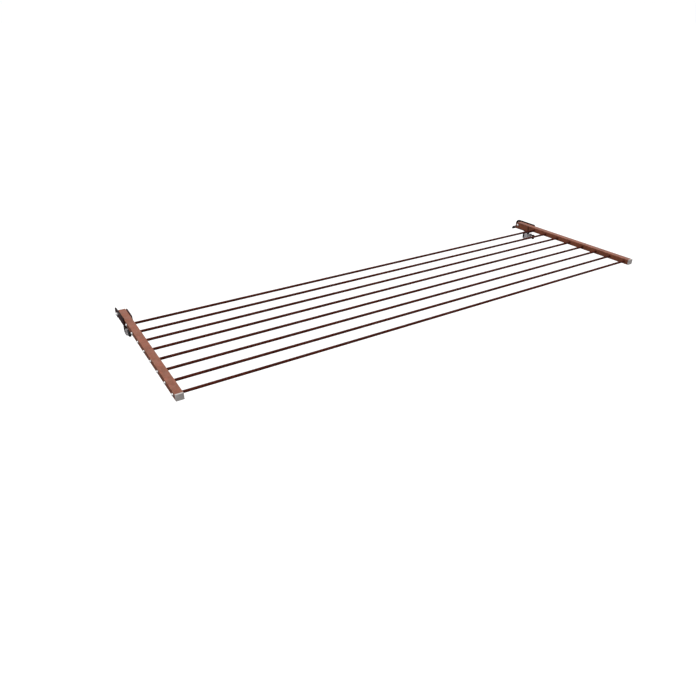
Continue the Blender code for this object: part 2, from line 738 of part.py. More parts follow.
def build_clamp_screw(station, level, paint, carrier):
    """Threaded bar with a necked end captive in the jaw."""
    mesh = bmesh.new()
    x, z = station.clamp_screw_axis(level)
    neck_rear = SLOT_MOUTH + GAP
    neck_front = neck_rear - NECK_LENGTH
    profile = [
        (0, CLAMP_SCREW_FRONT + 2.2 * MM),
        (CLAMP_SCREW_RADIUS, CLAMP_SCREW_FRONT + 2.2 * MM),
        (CLAMP_SCREW_RADIUS, neck_front),
        (NECK_RADIUS, neck_front),
        (NECK_RADIUS, neck_rear),
        (CLAMP_SCREW_RADIUS, neck_rear),
        (CLAMP_SCREW_RADIUS, neck_rear + COLLAR_LENGTH),
        (0, neck_rear + COLLAR_LENGTH),
    ]
    turned(mesh, "Y", (x, z), profile, 16)
    name = station.name(f"{level}_clamp_screw")
    add_part(name, mesh, paint, (x, CLAMP_SCREW_FRONT, z), carrier)


def build_clamp_knob(station, level, paint, carrier):
    """Lobed plastic knob on the front end of a clamp screw."""
    mesh = bmesh.new()
    x, z = station.clamp_screw_axis(level)
    grip = lobed_outline((x, z), 5.6 * MM, 0.7 * MM, 6, 5)
    prism(mesh, grip, "Y", CLAMP_SCREW_FRONT, CLAMP_SCREW_FRONT + KNOB_LENGTH)
    name = station.name(f"{level}_clamp_knob")
    knob = add_part(name, mesh, paint, (x, CLAMP_SCREW_FRONT, z), carrier)
    bore = bmesh.new()
    limits = (CLAMP_SCREW_FRONT + 1.9 * MM, CLAMP_SCREW_FRONT + KNOB_LENGTH + 1 * MM)
    cylinder(bore, "Y", (x, z), CLAMP_SCREW_RADIUS + GAP, *limits)
    boolean(knob, bore, "bore")


# ---------------------------------------------------------------- assembly

def build_rack(stations, paints):
    """Everything that swings up together about the two pivot bolts."""
    pivot = make_empty("rack_pivot", (0, PIVOT_Y, PIVOT_Z))
    build_rods(paints["rod_brown"], pivot)
    for station in stations:
        build_arm(station, paints["arm_brown"], pivot)
        build_front_cap(station, paints["cap_grey"], pivot)
        build_rear_cap(station, paints["cap_brown"], pivot)
        build_rod_screws(station, paints["screw_silver"], pivot)
        build_pivot_bush(station, paints["nylon_white"], pivot)


def build_bracket_set(station, paints):
    """The pieces that stay still on the handrail."""
    build_bracket(station, paints["bracket_brown"])
    build_foot_pad(station, paints["rubber_black"])
    build_lip_sleeve(station, paints["rubber_black"])
    build_pivot_bolt(station, paints["screw_silver"])
    build_pivot_nut(station, paints["screw_silver"])
    build_hanger(station, paints["clamp_grey"])
    build_hanger_screw(station, paints["screw_silver"])
    build_arm_rest(station, paints["rubber_black"])


def build_clamp(station, paints):
    """The sliding jaw and the two clamp screws that turn in it."""
    carrier = make_empty(station.name("jaw_slide"), station.point(JAW_FRONT, 0))
    build_jaw(station, paints["jaw_grey"], carrier)
    build_jaw_facing(station, paints["rubber_black"], carrier)
    for level in CLAMP_SCREW_HEIGHTS:
        build_clamp_screw(station, level, paints["dark_steel"], carrier)
        build_clamp_knob(station, level, paints["knob_black"], carrier)


def main():
    clear_scene()
    paints = make_materials()
    stations = [Station("left", -1), Station("right", 1)]
    build_rack(stations, paints)
    for station in stations:
        build_bracket_set(station, paints)
        build_clamp(station, paints)
    even_normals()


main()
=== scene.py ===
"""The finished look of the balcony drying rack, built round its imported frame.

Every visible piece is drawn again as a finer mesh with a procedural finish, in the place that
the frame gives it. Shapes for the two ends of the rack are drawn once, for the right-hand end:
their X runs from the arm's middle plane outward, and the left-hand end mirrors them.
"""

import json
import math

import bmesh
import bpy
from mathutils import Matrix, Vector


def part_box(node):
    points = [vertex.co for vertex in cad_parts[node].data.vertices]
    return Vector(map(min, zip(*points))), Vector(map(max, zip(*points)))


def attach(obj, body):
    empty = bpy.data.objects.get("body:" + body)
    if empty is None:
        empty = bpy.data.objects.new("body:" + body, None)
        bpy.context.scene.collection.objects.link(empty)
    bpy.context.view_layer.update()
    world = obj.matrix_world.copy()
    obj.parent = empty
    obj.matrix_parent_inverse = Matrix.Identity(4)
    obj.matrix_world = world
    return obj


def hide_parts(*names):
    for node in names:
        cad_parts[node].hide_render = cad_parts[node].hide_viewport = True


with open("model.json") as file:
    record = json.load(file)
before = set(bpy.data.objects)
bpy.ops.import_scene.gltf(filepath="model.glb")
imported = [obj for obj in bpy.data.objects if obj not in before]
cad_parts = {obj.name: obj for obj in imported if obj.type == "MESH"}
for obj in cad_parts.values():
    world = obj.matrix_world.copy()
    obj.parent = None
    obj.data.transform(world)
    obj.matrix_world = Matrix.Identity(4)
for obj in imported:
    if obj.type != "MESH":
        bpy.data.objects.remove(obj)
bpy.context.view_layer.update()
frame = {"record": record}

MM = 0.001
SIDES = {"left": -1, "right": 1}
ROD_COUNT = 8
SLACK = 0.3 * MM                   # clearance between pieces that rest on each other
OVER = 1 * MM                      # how far a cutter or a joined piece runs past a face

# Stock that the pieces are made from
ARM_WALL = 1.5 * MM
ARM_CORNER = 1.4 * MM
SHEET = 3 * MM
SHEET_BEND = 4 * MM                # outside radius of a bend in the sheet
ROD_BORE = 2.1 * MM
BOLT_RADIUS = 3 * MM
BOLT_HOLE = 3.4 * MM
RUBBED_EDGE_AND_HIGHLIGHT = 0.6                  # how far a rubbed edge turns to the worn tone, which is wear and a painted edge highlight

# Bracket and clamp
EAR_FRONT = -57 * MM
EAR_REAR = 21 * MM
EAR_TOP = 34 * MM
TONGUE = (-7 * MM, 13 * MM)        # the narrower base behind the ear, and its lip
TONGUE_FRONT = 24 * MM
LIP_INSET = 0.1 * MM               # the lip's rear face, ahead of the cheek's rear end
HANGER_SCREW_Y = -47 * MM
HANGER_HOLE = 2.7 * MM             # radius
WEB_REAR = -41 * MM                # rear edge of the hanger's web
WEB_NECK = -50 * MM                # where the web's round shoulder meets the top flange
WEB_SHOULDER_TOP = -4 * MM
WEB_HOLE = (-47 * MM, -24 * MM)
WEB_HOLE_RADIUS = 2.5 * MM
FRONT_FLANGE_TOP = -8 * MM
WELD_NUT = 5 * MM                  # height
WELD_NUT_FLATS = 10 * MM
GRIP_Y = -27.5 * MM                # the face of the jaw's rubber facing
CROWN_RADIUS = 18 * MM             # and the round top of that facing
CROWN_Z = -20 * MM
FACING = 6 * MM
THREAD_PITCH = 1 * MM
THREAD_DEPTH = 0.55 * MM
SCREW_NECK = 1.9 * MM              # radius of the neck in the jaw's slot
SCREW_COLLAR = 2 * MM              # length of the collar behind it

# Camera, solved for the rack's lowered pose
CAMERA_PLACE = (-1.3101, -2.0185, 0.9259)
CAMERA_YAW = 31.95                 # degrees from +Y towards +X
CAMERA_PITCH = 28.867              # degrees below the horizon
CAMERA_LENS = 30.764
CAMERA_CLIP = (0.05, 1000)
SENSOR_WIDTH = 36.0

FLOOR_HEIGHT = -1.05               # a balcony floor below its handrail
FLOOR_RADIUS = 400.0
SKY_LIGHT = 1.02                   # the plain surroundings above the floor
BELOW_LIGHT = 0.14                 # dark cards under the rack, which keep its undersides dark
SKY_COLOUR = (0.985, 0.99, 1.0, 1)
HORIZON = (-0.06, -0.01)           # where the light fades from one to the other, as a slope
SUN_LIGHT = 1.2
SUN_SPREAD = 60                    # degrees
SUN_COLOUR = (1.0, 0.985, 0.96)
SUN_PLACE = (0.9, 1.4, 3.0)

BODY_OF = {
    node: body
    for body, nodes in frame["record"]["behaviour"]["bodies"].items()
    for node in nodes
}
SLOT_OF = {part["node"]: part["material_slot"] for part in frame["record"]["subparts"]}


def middle(node):
    """The middle of a node's box."""
    low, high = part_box(node)
    return (low + high) / 2


def radius_of(node):
    """Half the height of a node's box."""
    low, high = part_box(node)
    return (high.z - low.z) / 2


ARM_X = middle("right_arm").x
PIVOT = middle("right_pivot_bush").yz
BUSH_RADIUS = radius_of("right_pivot_bush")
ROD_LINE = [middle(f"rod_{i + 1}").yz for i in range(ROD_COUNT)]
ROD_RADIUS = radius_of("rod_1")
SCREW_LEVELS = {level: middle(f"right_{level}_clamp_screw").z for level in ("upper", "lower")}
SCREW_OUTWARD = middle("right_upper_clamp_screw").x - ARM_X
SCREW_RADIUS = radius_of("right_upper_clamp_screw")


def limits(part):
    """The box of a right-hand node, with X measured from the arm's middle plane."""
    low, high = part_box(f"right_{part}")
    inward = Vector((ARM_X, 0, 0))
    return low - inward, high - inward


# ---------------------------------------------------------------- outlines

def on_axis(axis, along, first, second):
    """A point at a distance along one axis, with the other two in X, Y, Z order."""
    return {
        "X": Vector((along, first, second)),
        "Y": Vector((first, along, second)),
        "Z": Vector((first, second, along)),
    }[axis]


def arc(centre, radius, start, end, steps):
    """Points along an arc, angles in degrees."""
    angles = [math.radians(start + (end - start) * i / steps) for i in range(steps + 1)]
    return [(centre[0] + radius * math.cos(t), centre[1] + radius * math.sin(t)) for t in angles]


def circle(centre, radius, steps):
    """A closed round outline."""
    return arc(centre, radius, 0, 360, steps)[:-1]


def fillet(corners, steps=6):
    """A closed outline through (a, b, radius) corners, each rounded to its radius."""
    outline = []
    for i, (a, b, radius) in enumerate(corners):
        here = Vector((a, b))
        if radius == 0:
            outline.append(here)
            continue
        back = (Vector(corners[i - 1][:2]) - here).normalized()
        ahead = (Vector(corners[(i + 1) % len(corners)][:2]) - here).normalized()
        half = back.angle(ahead) / 2
        reach = radius / math.tan(half)
        centre = here + (back + ahead).normalized() * radius / math.sin(half)
        start = here + back * reach - centre
        end = here + ahead * reach - centre
        turn = math.atan2(start.x * end.y - start.y * end.x, start.dot(end))
        for k in range(steps + 1):
            outline.append(centre + Matrix.Rotation(turn * k / steps, 2) @ start)
    return outline


def rounded(low, high, radius, steps=6):
    """A rectangle between two corners, with round corners."""
    (left, bottom), (right, top) = low, high
    places = ((right, top), (left, top), (left, bottom), (right, bottom))
    return fillet([(*place, radius) for place in places], steps)


def shrunk(outline, inset):
    """An outline brought inward by an inset at each side of its own box."""
    columns = []
    for values in zip(*outline):
        centre = (max(values) + min(values)) / 2
        share = 1 - 2 * inset / (max(values) - min(values))
        columns.append([centre + (value - centre) * share for value in values])
    return list(zip(*columns))


def hexagon(across_flats, centre, turn=0):
    """The outline of a hexagon, angle in degrees."""
    corner = across_flats / 2 / math.cos(math.radians(30))
    return arc(centre, corner, turn, turn + 360, 6)[:-1]


# ---------------------------------------------------------------- solids

def skin(rows):
    """A closed shape from rows of points; a row of one point closes an end."""
    shape = bmesh.new()
    rings = [[shape.verts.new(point) for point in row] for row in rows]
    for near, far in zip(rings, rings[1:]):
        count = max(len(near), len(far))
        for i in range(count):
            j = (i + 1) % count
            around = ((near, i), (near, j), (far, j), (far, i))
            corners = [ring[k % len(ring)] for ring, k in around]
            shape.faces.new(list(dict.fromkeys(corners)))
    for ring in (rings[0], rings[-1]):
        if len(ring) > 1:
            shape.faces.new(ring)
    bmesh.ops.recalc_face_normals(shape, faces=shape.faces)
    return shape


def loft(axis, sections):
    """A shape through outlines at given distances along an axis."""
    return skin([[on_axis(axis, along, a, b) for a, b in outline] for along, outline in sections])


def prism(outline, axis, low, high):
    """An outline extruded along an axis."""
    return loft(axis, [(low, outline), (high, outline)])


def box_outline(low, high):
    """A rectangle between two corners, with sharp corners."""
    return [(low[0], low[1]), (high[0], low[1]), (high[0], high[1]), (low[0], high[1])]


def slab(x, y, z):
    """A box between the two limits given for each axis."""
    return prism(box_outline((y[0], z[0]), (y[1], z[1])), "X", x[0], x[1])


def turned(axis, centre, profile, steps=48):
    """A solid turned round an axis from (radius, distance) points."""
    rows = []
    for radius, along in profile:
        if radius == 0:
            rows.append([on_axis(axis, along, *centre)])
        else:
            rows.append([on_axis(axis, along, a, b) for a, b in circle(centre, radius, steps)])
    return skin(rows)


def rod(axis, centre, radius, low, high, steps=48):
    """A plain round bar."""
    return turned(axis, centre, [(0, low), (radius, low), (radius, high), (0, high)], steps)


def pipe(axis, centre, inner, outer, low, high, lead, steps):
    """A round tube whose outer rims are eased by a small lead."""
    shape = bmesh.new()
    profile = [(inner, low), (outer - lead, low), (outer, low + lead)]
    profile += [(outer, high - lead), (outer - lead, high), (inner, high)]
    rings = []
    for radius, along in profile:
        points = circle(centre, radius, steps)
        rings.append([shape.verts.new(on_axis(axis, along, a, b)) for a, b in points])
    for near, far in zip(rings, rings[1:] + rings[:1]):
        for i in range(steps):
            j = (i + 1) % steps
            shape.faces.new((near[i], near[j], far[j], far[i]))
    bmesh.ops.recalc_face_normals(shape, faces=shape.faces)
    return shape


def together(*shapes):
    """Several shapes in one mesh."""
    joined = bmesh.new()
    for shape in shapes:
        mesh = bpy.data.meshes.new("part")
        shape.to_mesh(mesh)
        shape.free()
        joined.from_mesh(mesh)
        bpy.data.meshes.remove(mesh)
    return joined


def added(name, data):
    """A new object in the scene."""
    thing = bpy.data.objects.new(name, data)
    bpy.context.scene.collection.objects.link(thing)
    return thing


def solid(name, shape):
    """A new object made of a shape, which is used up."""
    mesh = bpy.data.meshes.new(name)
    shape.to_mesh(mesh)
    shape.free()
    return added(name, mesh)


def combine(shape, operation, *tools):
    """A shape after a Boolean with each tool in turn."""
    base = solid("base", shape)
    helpers = [solid("tool", tool) for tool in tools]
    for helper in helpers:
        modifier = base.modifiers.new("tool", "BOOLEAN")
        modifier.operation = operation
        modifier.solver = "EXACT"
        modifier.object = helper
    result = bmesh.new()
    result.from_object(base, bpy.context.evaluated_depsgraph_get())
    for thing in [base, *helpers]:
        mesh = thing.data
        bpy.data.objects.remove(thing)
        bpy.data.meshes.remove(mesh)
    return result


def cut(shape, *tools):
    return combine(shape, "DIFFERENCE", *tools)


def join(shape, *tools):
    return combine(shape, "UNION", *tools)


def edge_layer(shape):
    """The face layer that the finishes read to find worn edges."""
    return shape.faces.layers.float.get("edge") or shape.faces.layers.float.new("edge")


def soften(shape, width, steps=2, angle=38):
    """Round every sharp edge by a small width, and mark the new faces as edges."""
    merge = 0.002 * MM
    bmesh.ops.remove_doubles(shape, verts=shape.verts, dist=merge)
    bmesh.ops.dissolve_degenerate(shape, edges=shape.edges, dist=merge)
    bmesh.ops.dissolve_limit(
        shape, angle_limit=math.radians(0.5), verts=shape.verts, edges=shape.edges
    )
    layer = edge_layer(shape)
    sharp = [
        edge
        for edge in shape.edges
        if len(edge.link_faces) == 2 and edge.calc_face_angle() > math.radians(angle)
    ]
    options = {"offset_type": "OFFSET", "affect": "EDGES", "profile": 0.5, "clamp_overlap": True}
    made = bmesh.ops.bevel(shape, geom=sharp, offset=width, segments=steps, **options)
    for face in made["faces"]:
        face[layer] = 1
    return shape


def mark(shape, test):
    """Mark the faces that pass a test as edges."""
    layer = edge_layer(shape)
    shape.normal_update()
    for face in shape.faces:
        if test(face):
            face[layer] = 1
    return shape


def turn(shape, axis, degrees, centre):
    """Turn a shape about an axis through a point."""
    matrix = Matrix.Rotation(math.radians(degrees), 3, axis)
    bmesh.ops.rotate(shape, cent=centre, matrix=matrix, verts=shape.verts)
    return shape


# ---------------------------------------------------------------- materials

class Look:
    """A material under construction, with patterns in metres in the object's own space."""

    def __init__(self, name):
        self.material = bpy.data.materials.new(name)
        self.material.use_nodes = True
        self.tree = self.material.node_tree
        self.shader = self.tree.nodes["Principled BSDF"]
        self.space = self.tree.nodes.new("ShaderNodeTexCoord")
        self.place = self.space.outputs["Object"]
        self.relief = None

    def node(self, kind, inputs, **settings):
        made = self.tree.nodes.new(kind)
        for name, value in settings.items():
            setattr(made, name, value)
        for name, value in inputs.items():
            self.feed(made.inputs[name], value)
        return made

    def feed(self, socket, value):
        if isinstance(value, bpy.types.NodeSocket):
            self.tree.links.new(value, socket)
        else:
            socket.default_value = value

    def maths(self, operation, first, second=0.0):
        return self.node("ShaderNodeMath", {0: first, 1: second}, operation=operation).outputs[0]

    def times(self, first, second):
        return self.maths("MULTIPLY", first, second)

    def pattern(self, kind, size, stretch=(1, 1, 1), **inputs):
        """A texture with features of a size in metres, drawn out along each axis by its stretch."""
        scale = [1 / (size * s) for s in stretch]
        placed = self.node("ShaderNodeMapping", {"Vector": self.place, "Scale": scale})
        return self.node(kind, {"Vector": placed.outputs[0], "Scale": 1.0, **inputs}).outputs

    def noise(self, size, detail=3.0, stretch=(1, 1, 1), distortion=0.0):
        """Soft blotches."""
        inputs = {"Detail": detail, "Distortion": distortion}
        return self.pattern("ShaderNodeTexNoise", size, stretch, **inputs)["Fac"]

    def cells(self, size):
        """A random value in each cell."""
        return self.pattern("ShaderNodeTexVoronoi", size)["Color"]

    def window(self, value, low, high, to_low=0.0, to_high=1.0):
        """A value spread from one range onto another, and held at its ends."""
        inputs = {"Value": value, "From Min": low, "From Max": high}
        inputs.update({"To Min": to_low, "To Max": to_high})
        return self.node("ShaderNodeMapRange", inputs, clamp=True).outputs[0]

    def patches(self, size, detail, low, high, to_low=0.0, to_high=1.0):
        """Blotches of a size in metres, with one range of their values spread onto another."""
        return self.window(self.noise(size, detail), low, high, to_low, to_high)

    def mix(self, amount, first, second):
        """A colour between two, by an amount from 0 to 1."""
        made = self.tree.nodes.new("ShaderNodeMix")
        made.data_type = "RGBA"
        for socket, value in ((0, amount), (6, first), (7, second)):
            if isinstance(value, tuple):
                value = (*value, 1.0)
            self.feed(made.inputs[socket], value)
        return made.outputs[2]

    def edge(self):
        """1 on the faces marked as edges."""
        return self.node("ShaderNodeAttribute", {}, attribute_name="edge").outputs["Fac"]

    def facing_up(self):
        """1 where the surface faces up when the rack is lowered."""
        split = self.node("ShaderNodeSeparateXYZ", {0: self.space.outputs["Normal"]})
        return self.window(split.outputs["Z"], 0.55, 0.95)

    def bump(self, height, depth):
        """Add a relief of a depth in metres, for a height from 0 to 1."""
        made = self.node("ShaderNodeBump", {"Height": height, "Distance": depth, "Strength": 1.0})
        if self.relief is not None:
            self.feed(made.inputs["Normal"], self.relief)
        self.relief = made.outputs[0]

    def finish(self, colour, roughness, **fixed):
        """Connect the pattern; fixed values are set on the shader's own sockets."""
        self.feed(self.shader.inputs["Base Color"], colour)
        self.feed(self.shader.inputs["Roughness"], roughness)
        if self.relief is not None:
            self.feed(self.shader.inputs["Normal"], self.relief)
        for name, value in fixed.items():
            self.shader.inputs[name.replace("_", " ")].default_value = value
        return self.material


def powder_coat(name, tones, worn, rough, flake, dust, gloss):
    """Satin metallic powder coat: mottled tone, fine flake, orange peel, rubbed edges lightened as
    wear and painted highlight, dust.
    """
    look = Look(name)
    dark, mid, light = tones
    colour = look.mix(look.patches(55 * MM, 3.0, 0.36, 0.66), dark, mid)
    blotch = look.noise(14 * MM, 4.0, distortion=0.4)
    colour = look.mix(look.window(blotch, 0.50, 0.74), colour, light)
    sparkle = look.window(look.cells(0.45 * MM), 0.55, 1.0, 0.0, flake)
    colour = look.mix(sparkle, colour, worn)

    scratches = look.window(look.noise(0.9 * MM, 2.0, stretch=(1, 45, 1)), 0.68, 0.74)
    scratches = look.times(scratches, look.patches(38 * MM, 2.0, 0.52, 0.62))
    colour = look.mix(look.times(scratches, 0.35), colour, worn)

    # Lighter marked edges: worn paint and a painted edge highlight.
    rubbed = look.times(look.edge(), look.patches(5 * MM, 4.0, 0.47, 0.60))
    colour = look.mix(look.times(rubbed, RUBBED_EDGE_AND_HIGHLIGHT), colour, worn)

    film = look.times(look.patches(24 * MM, 5.0, 0.42, 0.72), look.facing_up())
    film = look.times(film, dust)
    colour = look.mix(film, colour, (0.62, 0.56, 0.50))

    roughness = look.patches(9 * MM, 3.0, 0.3, 0.7, rough - 0.06, rough + 0.08)
    roughness = look.maths("ADD", roughness, look.times(film, 1.2))
    roughness = look.maths("SUBTRACT", roughness, look.times(rubbed, 0.12))
    look.bump(look.noise(1.3 * MM, 2.0), 0.022 * MM)
    look.bump(look.noise(0.35 * MM, 1.0), 0.006 * MM)
    look.bump(look.maths("SUBTRACT", 1.0, scratches), 0.010 * MM)
    return look.finish(colour, roughness, Metallic=0.0, Specular_IOR_Level=gloss)


def moulded(name, base, pale, rough=0.5):
    """Moulded plastic: slight colour drift, spark-eroded grain, rubbed rims."""
    look = Look(name)
    tint = tuple(0.72 * c for c in base)
    colour = look.mix(look.patches(11 * MM, 3.0, 0.35, 0.68), base, tint)
    rubbed = look.times(look.patches(3.5 * MM, 3.0, 0.42, 0.62), look.edge())
    colour = look.mix(look.times(rubbed, 0.55), colour, pale)
    colour = look.mix(look.patches(1.1 * MM, 2.0, 0.68, 0.80, 0.0, 0.30), colour, tint)
    roughness = look.patches(4 * MM, 3.0, 0.3, 0.7, rough - 0.05, rough + 0.10)
    look.bump(look.noise(0.30 * MM, 2.0), 0.012 * MM)
    return look.finish(colour, roughness, Specular_IOR_Level=0.45)


def plated(name, base, dull, rough):
    """Zinc-plated steel: cloudy plating, fine tool marks, dull patches."""
    look = Look(name)
    colour = look.mix(look.patches(3.2 * MM, 4.0, 0.38, 0.66), base, dull)
    stain = look.patches(1.4 * MM, 3.0, 0.62, 0.76, 0.0, 0.5)
    colour = look.mix(stain, colour, (0.42, 0.38, 0.31))
    roughness = look.patches(1.0 * MM, 3.0, 0.3, 0.7, rough - 0.08, rough + 0.14)
    roughness = look.maths("ADD", roughness, look.times(stain, 0.3))
    look.bump(look.noise(0.25 * MM, 2.0), 0.006 * MM)
    return look.finish(colour, roughness, Metallic=0.85)


def cast_metal(name, base, dark, rough, metallic):
    """Tumbled cast metal: sandy grain, soft darker hollows, brighter rubbed edges."""
    look = Look(name)
    colour = look.mix(look.patches(7 * MM, 4.0, 0.36, 0.68), base, dark)
    pits = look.patches(0.8 * MM, 2.0, 0.64, 0.74, 0.0, 0.6)
    colour = look.mix(pits, colour, tuple(0.4 * c for c in dark))
    bright = look.times(look.edge(), look.patches(4 * MM, 3.0, 0.40, 0.6, 0.1, 0.6))
    colour = look.mix(bright, colour, tuple(min(1.0, 1.35 * c) for c in base))
    roughness = look.patches(2.2 * MM, 3.0, 0.3, 0.7, rough - 0.06, rough + 0.12)
    look.bump(look.noise(0.55 * MM, 3.0), 0.035 * MM)
    look.bump(look.maths("SUBTRACT", 1.0, pits), 0.02 * MM)
    return look.finish(colour, roughness, Metallic=metallic)


def black_oxide(name):
    """Oiled black-oxide steel: near black, with brown bloom and bright thread crests."""
    look = Look(name)
    bloom = look.patches(4 * MM, 4.0, 0.40, 0.66)
    colour = look.mix(bloom, (0.030, 0.029, 0.030), (0.055, 0.046, 0.040))
    crest = look.times(look.edge(), look.patches(2.5 * MM, 3.0, 0.40, 0.62, 0.15, 0.8))
    colour = look.mix(crest, colour, (0.30, 0.29, 0.28))
    roughness = look.patches(1.2 * MM, 3.0, 0.3, 0.7, 0.26, 0.46)
    look.bump(look.noise(0.3 * MM, 2.0), 0.006 * MM)
    return look.finish(colour, roughness, Metallic=0.85)


def rubber(name):
    """Moulded black rubber: matte, finely textured, with a grey bloom."""
    look = Look(name)
    bloom = look.patches(6 * MM, 5.0, 0.46, 0.70, 0.0, 0.55)
    colour = look.mix(bloom, (0.012, 0.012, 0.013), (0.045, 0.043, 0.041))
    scuff = look.times(look.edge(), look.patches(2 * MM, 3.0, 0.45, 0.6, 0.0, 0.6))
    colour = look.mix(scuff, colour, (0.09, 0.087, 0.083))
    roughness = look.patches(2.5 * MM, 3.0, 0.3, 0.7, 0.62, 0.86)
    look.bump(look.noise(0.5 * MM, 3.0), 0.03 * MM)
    return look.finish(colour, roughness, Specular_IOR_Level=0.35)


def studio_floor(name):
    """Matte pale floor with a barely visible mottling."""
    look = Look(name)
    tone = look.patches(0.9, 4.0, 0.3, 0.7)
    colour = look.mix(tone, (0.86, 0.865, 0.87), (0.89, 0.89, 0.89))
    look.bump(look.noise(0.02, 2.0), 0.2 * MM)
    return look.finish(colour, look.window(tone, 0, 1, 0.85, 0.95), Specular_IOR_Level=0.1)


LOOKS = {
    "arm_brown": powder_coat(
        "arm_paint",
        ((0.175, 0.054, 0.029), (0.225, 0.069, 0.036), (0.270, 0.075, 0.045)),
        (0.48, 0.26, 0.17),
        rough=0.42, flake=0.22, dust=0.06, gloss=0.12,
    ),
    "rod_brown": powder_coat(
        "rod_paint",
        ((0.048, 0.009, 0.005), (0.070, 0.013, 0.007), (0.095, 0.018, 0.010)),
        (0.24, 0.09, 0.06),
        rough=0.48, flake=0.12, dust=0.0, gloss=0.02,
    ),
    "bracket_brown": powder_coat(
        "bracket_paint",
        ((0.034, 0.013, 0.015), (0.048, 0.017, 0.021), (0.062, 0.022, 0.027)),
        (0.26, 0.15, 0.15),
        rough=0.44, flake=0.12, dust=0.02, gloss=0.10,
    ),
    "cap_grey": moulded("cap_grey_plastic", (0.46, 0.42, 0.40), (0.66, 0.61, 0.58)),
    "cap_brown": moulded("cap_brown_plastic", (0.018, 0.010, 0.009), (0.08, 0.055, 0.045)),
    "screw_silver": plated("zinc_plate", (0.96, 0.96, 0.95), (0.84, 0.85, 0.86), rough=0.34),
    "clamp_grey": cast_metal(
        "clamp_metal", (0.66, 0.62, 0.63), (0.52, 0.49, 0.50), rough=0.46, metallic=0.35
    ),
    # Painted shade: the jaw is given a near-black tone to match it where it sits in shade inside
    # the clamp.
    "jaw_grey": cast_metal(
        "jaw_casting_painted_shade", (0.040, 0.044, 0.040), (0.022, 0.024, 0.022), rough=0.55, metallic=0.1
    ),
    "dark_steel": black_oxide("black_oxide"),
    "rubber": rubber("black_rubber"),
    "knob_black": moulded("knob_plastic", (0.018, 0.018, 0.019), (0.07, 0.07, 0.07), rough=0.42),
    "nylon": moulded("nylon_natural", (0.72, 0.70, 0.64), (0.82, 0.80, 0.76), rough=0.4),
}


# Painted shade: a near-black coat for the cheek's side that faces the arm, standing for the shadow
# between cheek and arm
BRACKET_PAINTED_SHADE = powder_coat(
    "bracket_painted_shade",
    ((0.008, 0.006, 0.006), (0.012, 0.008, 0.008), (0.018, 0.011, 0.010)),
    (0.08, 0.06, 0.055),
    rough=0.5, flake=0.06, dust=0.0, gloss=0.03,
)


# ---------------------------------------------------------------- pieces

def show(node, shape, smooth=35, extra=()):
    """Make a shape the finished piece that stands for a node."""
    thing = solid(f"fine_{node}", shape)
    for look in (LOOKS[SLOT_OF[node]], *extra):
        thing.data.materials.append(look)
    thing.data.shade_smooth()
    thing.data.set_sharp_from_angle(angle=math.radians(smooth))
    thing.modifiers.new("even_normals", "WEIGHTED_NORMAL").keep_sharp = True
    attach(thing, BODY_OF[node])
    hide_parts(node)
    return thing


def show_pair(part, shape, mirrored=True, outward=0.0, **options):
    """The same shape at both ends of the rack, moved outward; threads aren't mirrored."""
    for side, sign in SIDES.items():
        copy = shape.copy()
        flip = mirrored and sign < 0
        mirror = Matrix.Diagonal((-1 if flip else 1, 1, 1, 1))
        place = Matrix.Translation((sign * (ARM_X + outward), 0, 0))
        bmesh.ops.transform(copy, matrix=place @ mirror, verts=copy.verts)
        if flip:
            bmesh.ops.reverse_faces(copy, faces=copy.faces)
        show(f"{side}_{part}", copy, **options)
    shape.free()


def phillips(depth, width, blade):
    """A cross-shaped recess that opens at distance 0 along X and narrows to its tip."""
    mouth = (SLACK, 1.1)               # distance, and share of the width there
    tip = (-depth, 0.45)
    tools = []
    for upright in (False, True):
        sections = []
        for along, share in (mouth, tip):
            half = (blade / 2 * (0.6 + 0.4 * share), width / 2 * share)
            if upright:
                half = half[::-1]
            sections.append((along, box_outline((-half[0], -half[1]), half)))
        tools.append(loft("X", sections))
    return tools


def moved(shape, by):
    bmesh.ops.translate(shape, vec=Vector(by), verts=shape.verts)
    return shape


def make_rods():
    """Eight powder-coated tubes."""
    for number, centre in enumerate(ROD_LINE, start=1):
        low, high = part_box(f"rod_{number}")
        shape = pipe("X", centre, ROD_BORE, ROD_RADIUS, low.x, high.x, lead=0.25 * MM, steps=56)
        show(f"rod_{number}", shape)


def tube_section(inset, radius, steps=6):
    """The arm's outline brought inward, with round corners."""
    low, high = limits("arm")
    return rounded(
        (low.x + inset, low.z + inset), (high.x - inset, high.z - inset), radius, steps
    )


def make_arms():
    """Rectangular tube with drawn corners and a bored hole for every rod, screw and bush."""
    low, high = limits("arm")
    shape = prism(tube_section(0, ARM_CORNER, 8), "Y", low.y, high.y)
    inner_corner = 0.5 * MM
    screw_hole = 2.2 * MM
    inside = tube_section(ARM_WALL, inner_corner, 3)
    hollow = prism(inside, "Y", low.y - ARM_WALL, high.y + ARM_WALL)
    holes = []
    inner_wall = (low.x - ARM_WALL, low.x + 2 * ARM_WALL)
    outer_wall = (high.x - 2 * ARM_WALL, high.x + ARM_WALL)
    for centre in ROD_LINE:
        holes.append(rod("X", centre, ROD_RADIUS + SLACK, *inner_wall))
        holes.append(rod("X", centre, screw_hole, *outer_wall, 24))
    for wall in (inner_wall, outer_wall):
        holes.append(rod("X", PIVOT, BUSH_RADIUS + SLACK, *wall))
    shape = cut(shape, hollow)
    shape = cut(shape, together(*holes))
    soften(shape, 0.22 * MM, angle=50)
    corner = 0.2                   # a normal that leans this far both ways is on a corner
    mark(shape, lambda face: abs(face.normal.x) > corner and abs(face.normal.z) > corner)
    show_pair("arm", shape)


def cap_sections(outline, front, rear, ease, steps=5):
    """Sections of a moulded cap whose front rim is rounded."""
    sections = [(rear, outline)]
    for k in range(steps + 1):
        angle = math.pi / 2 * k / steps
        along = front + math.copysign(ease, rear - front) * (1 - math.sin(angle))
        sections.append((along, shrunk(outline, ease * (1 - math.cos(angle)))))
    return sections


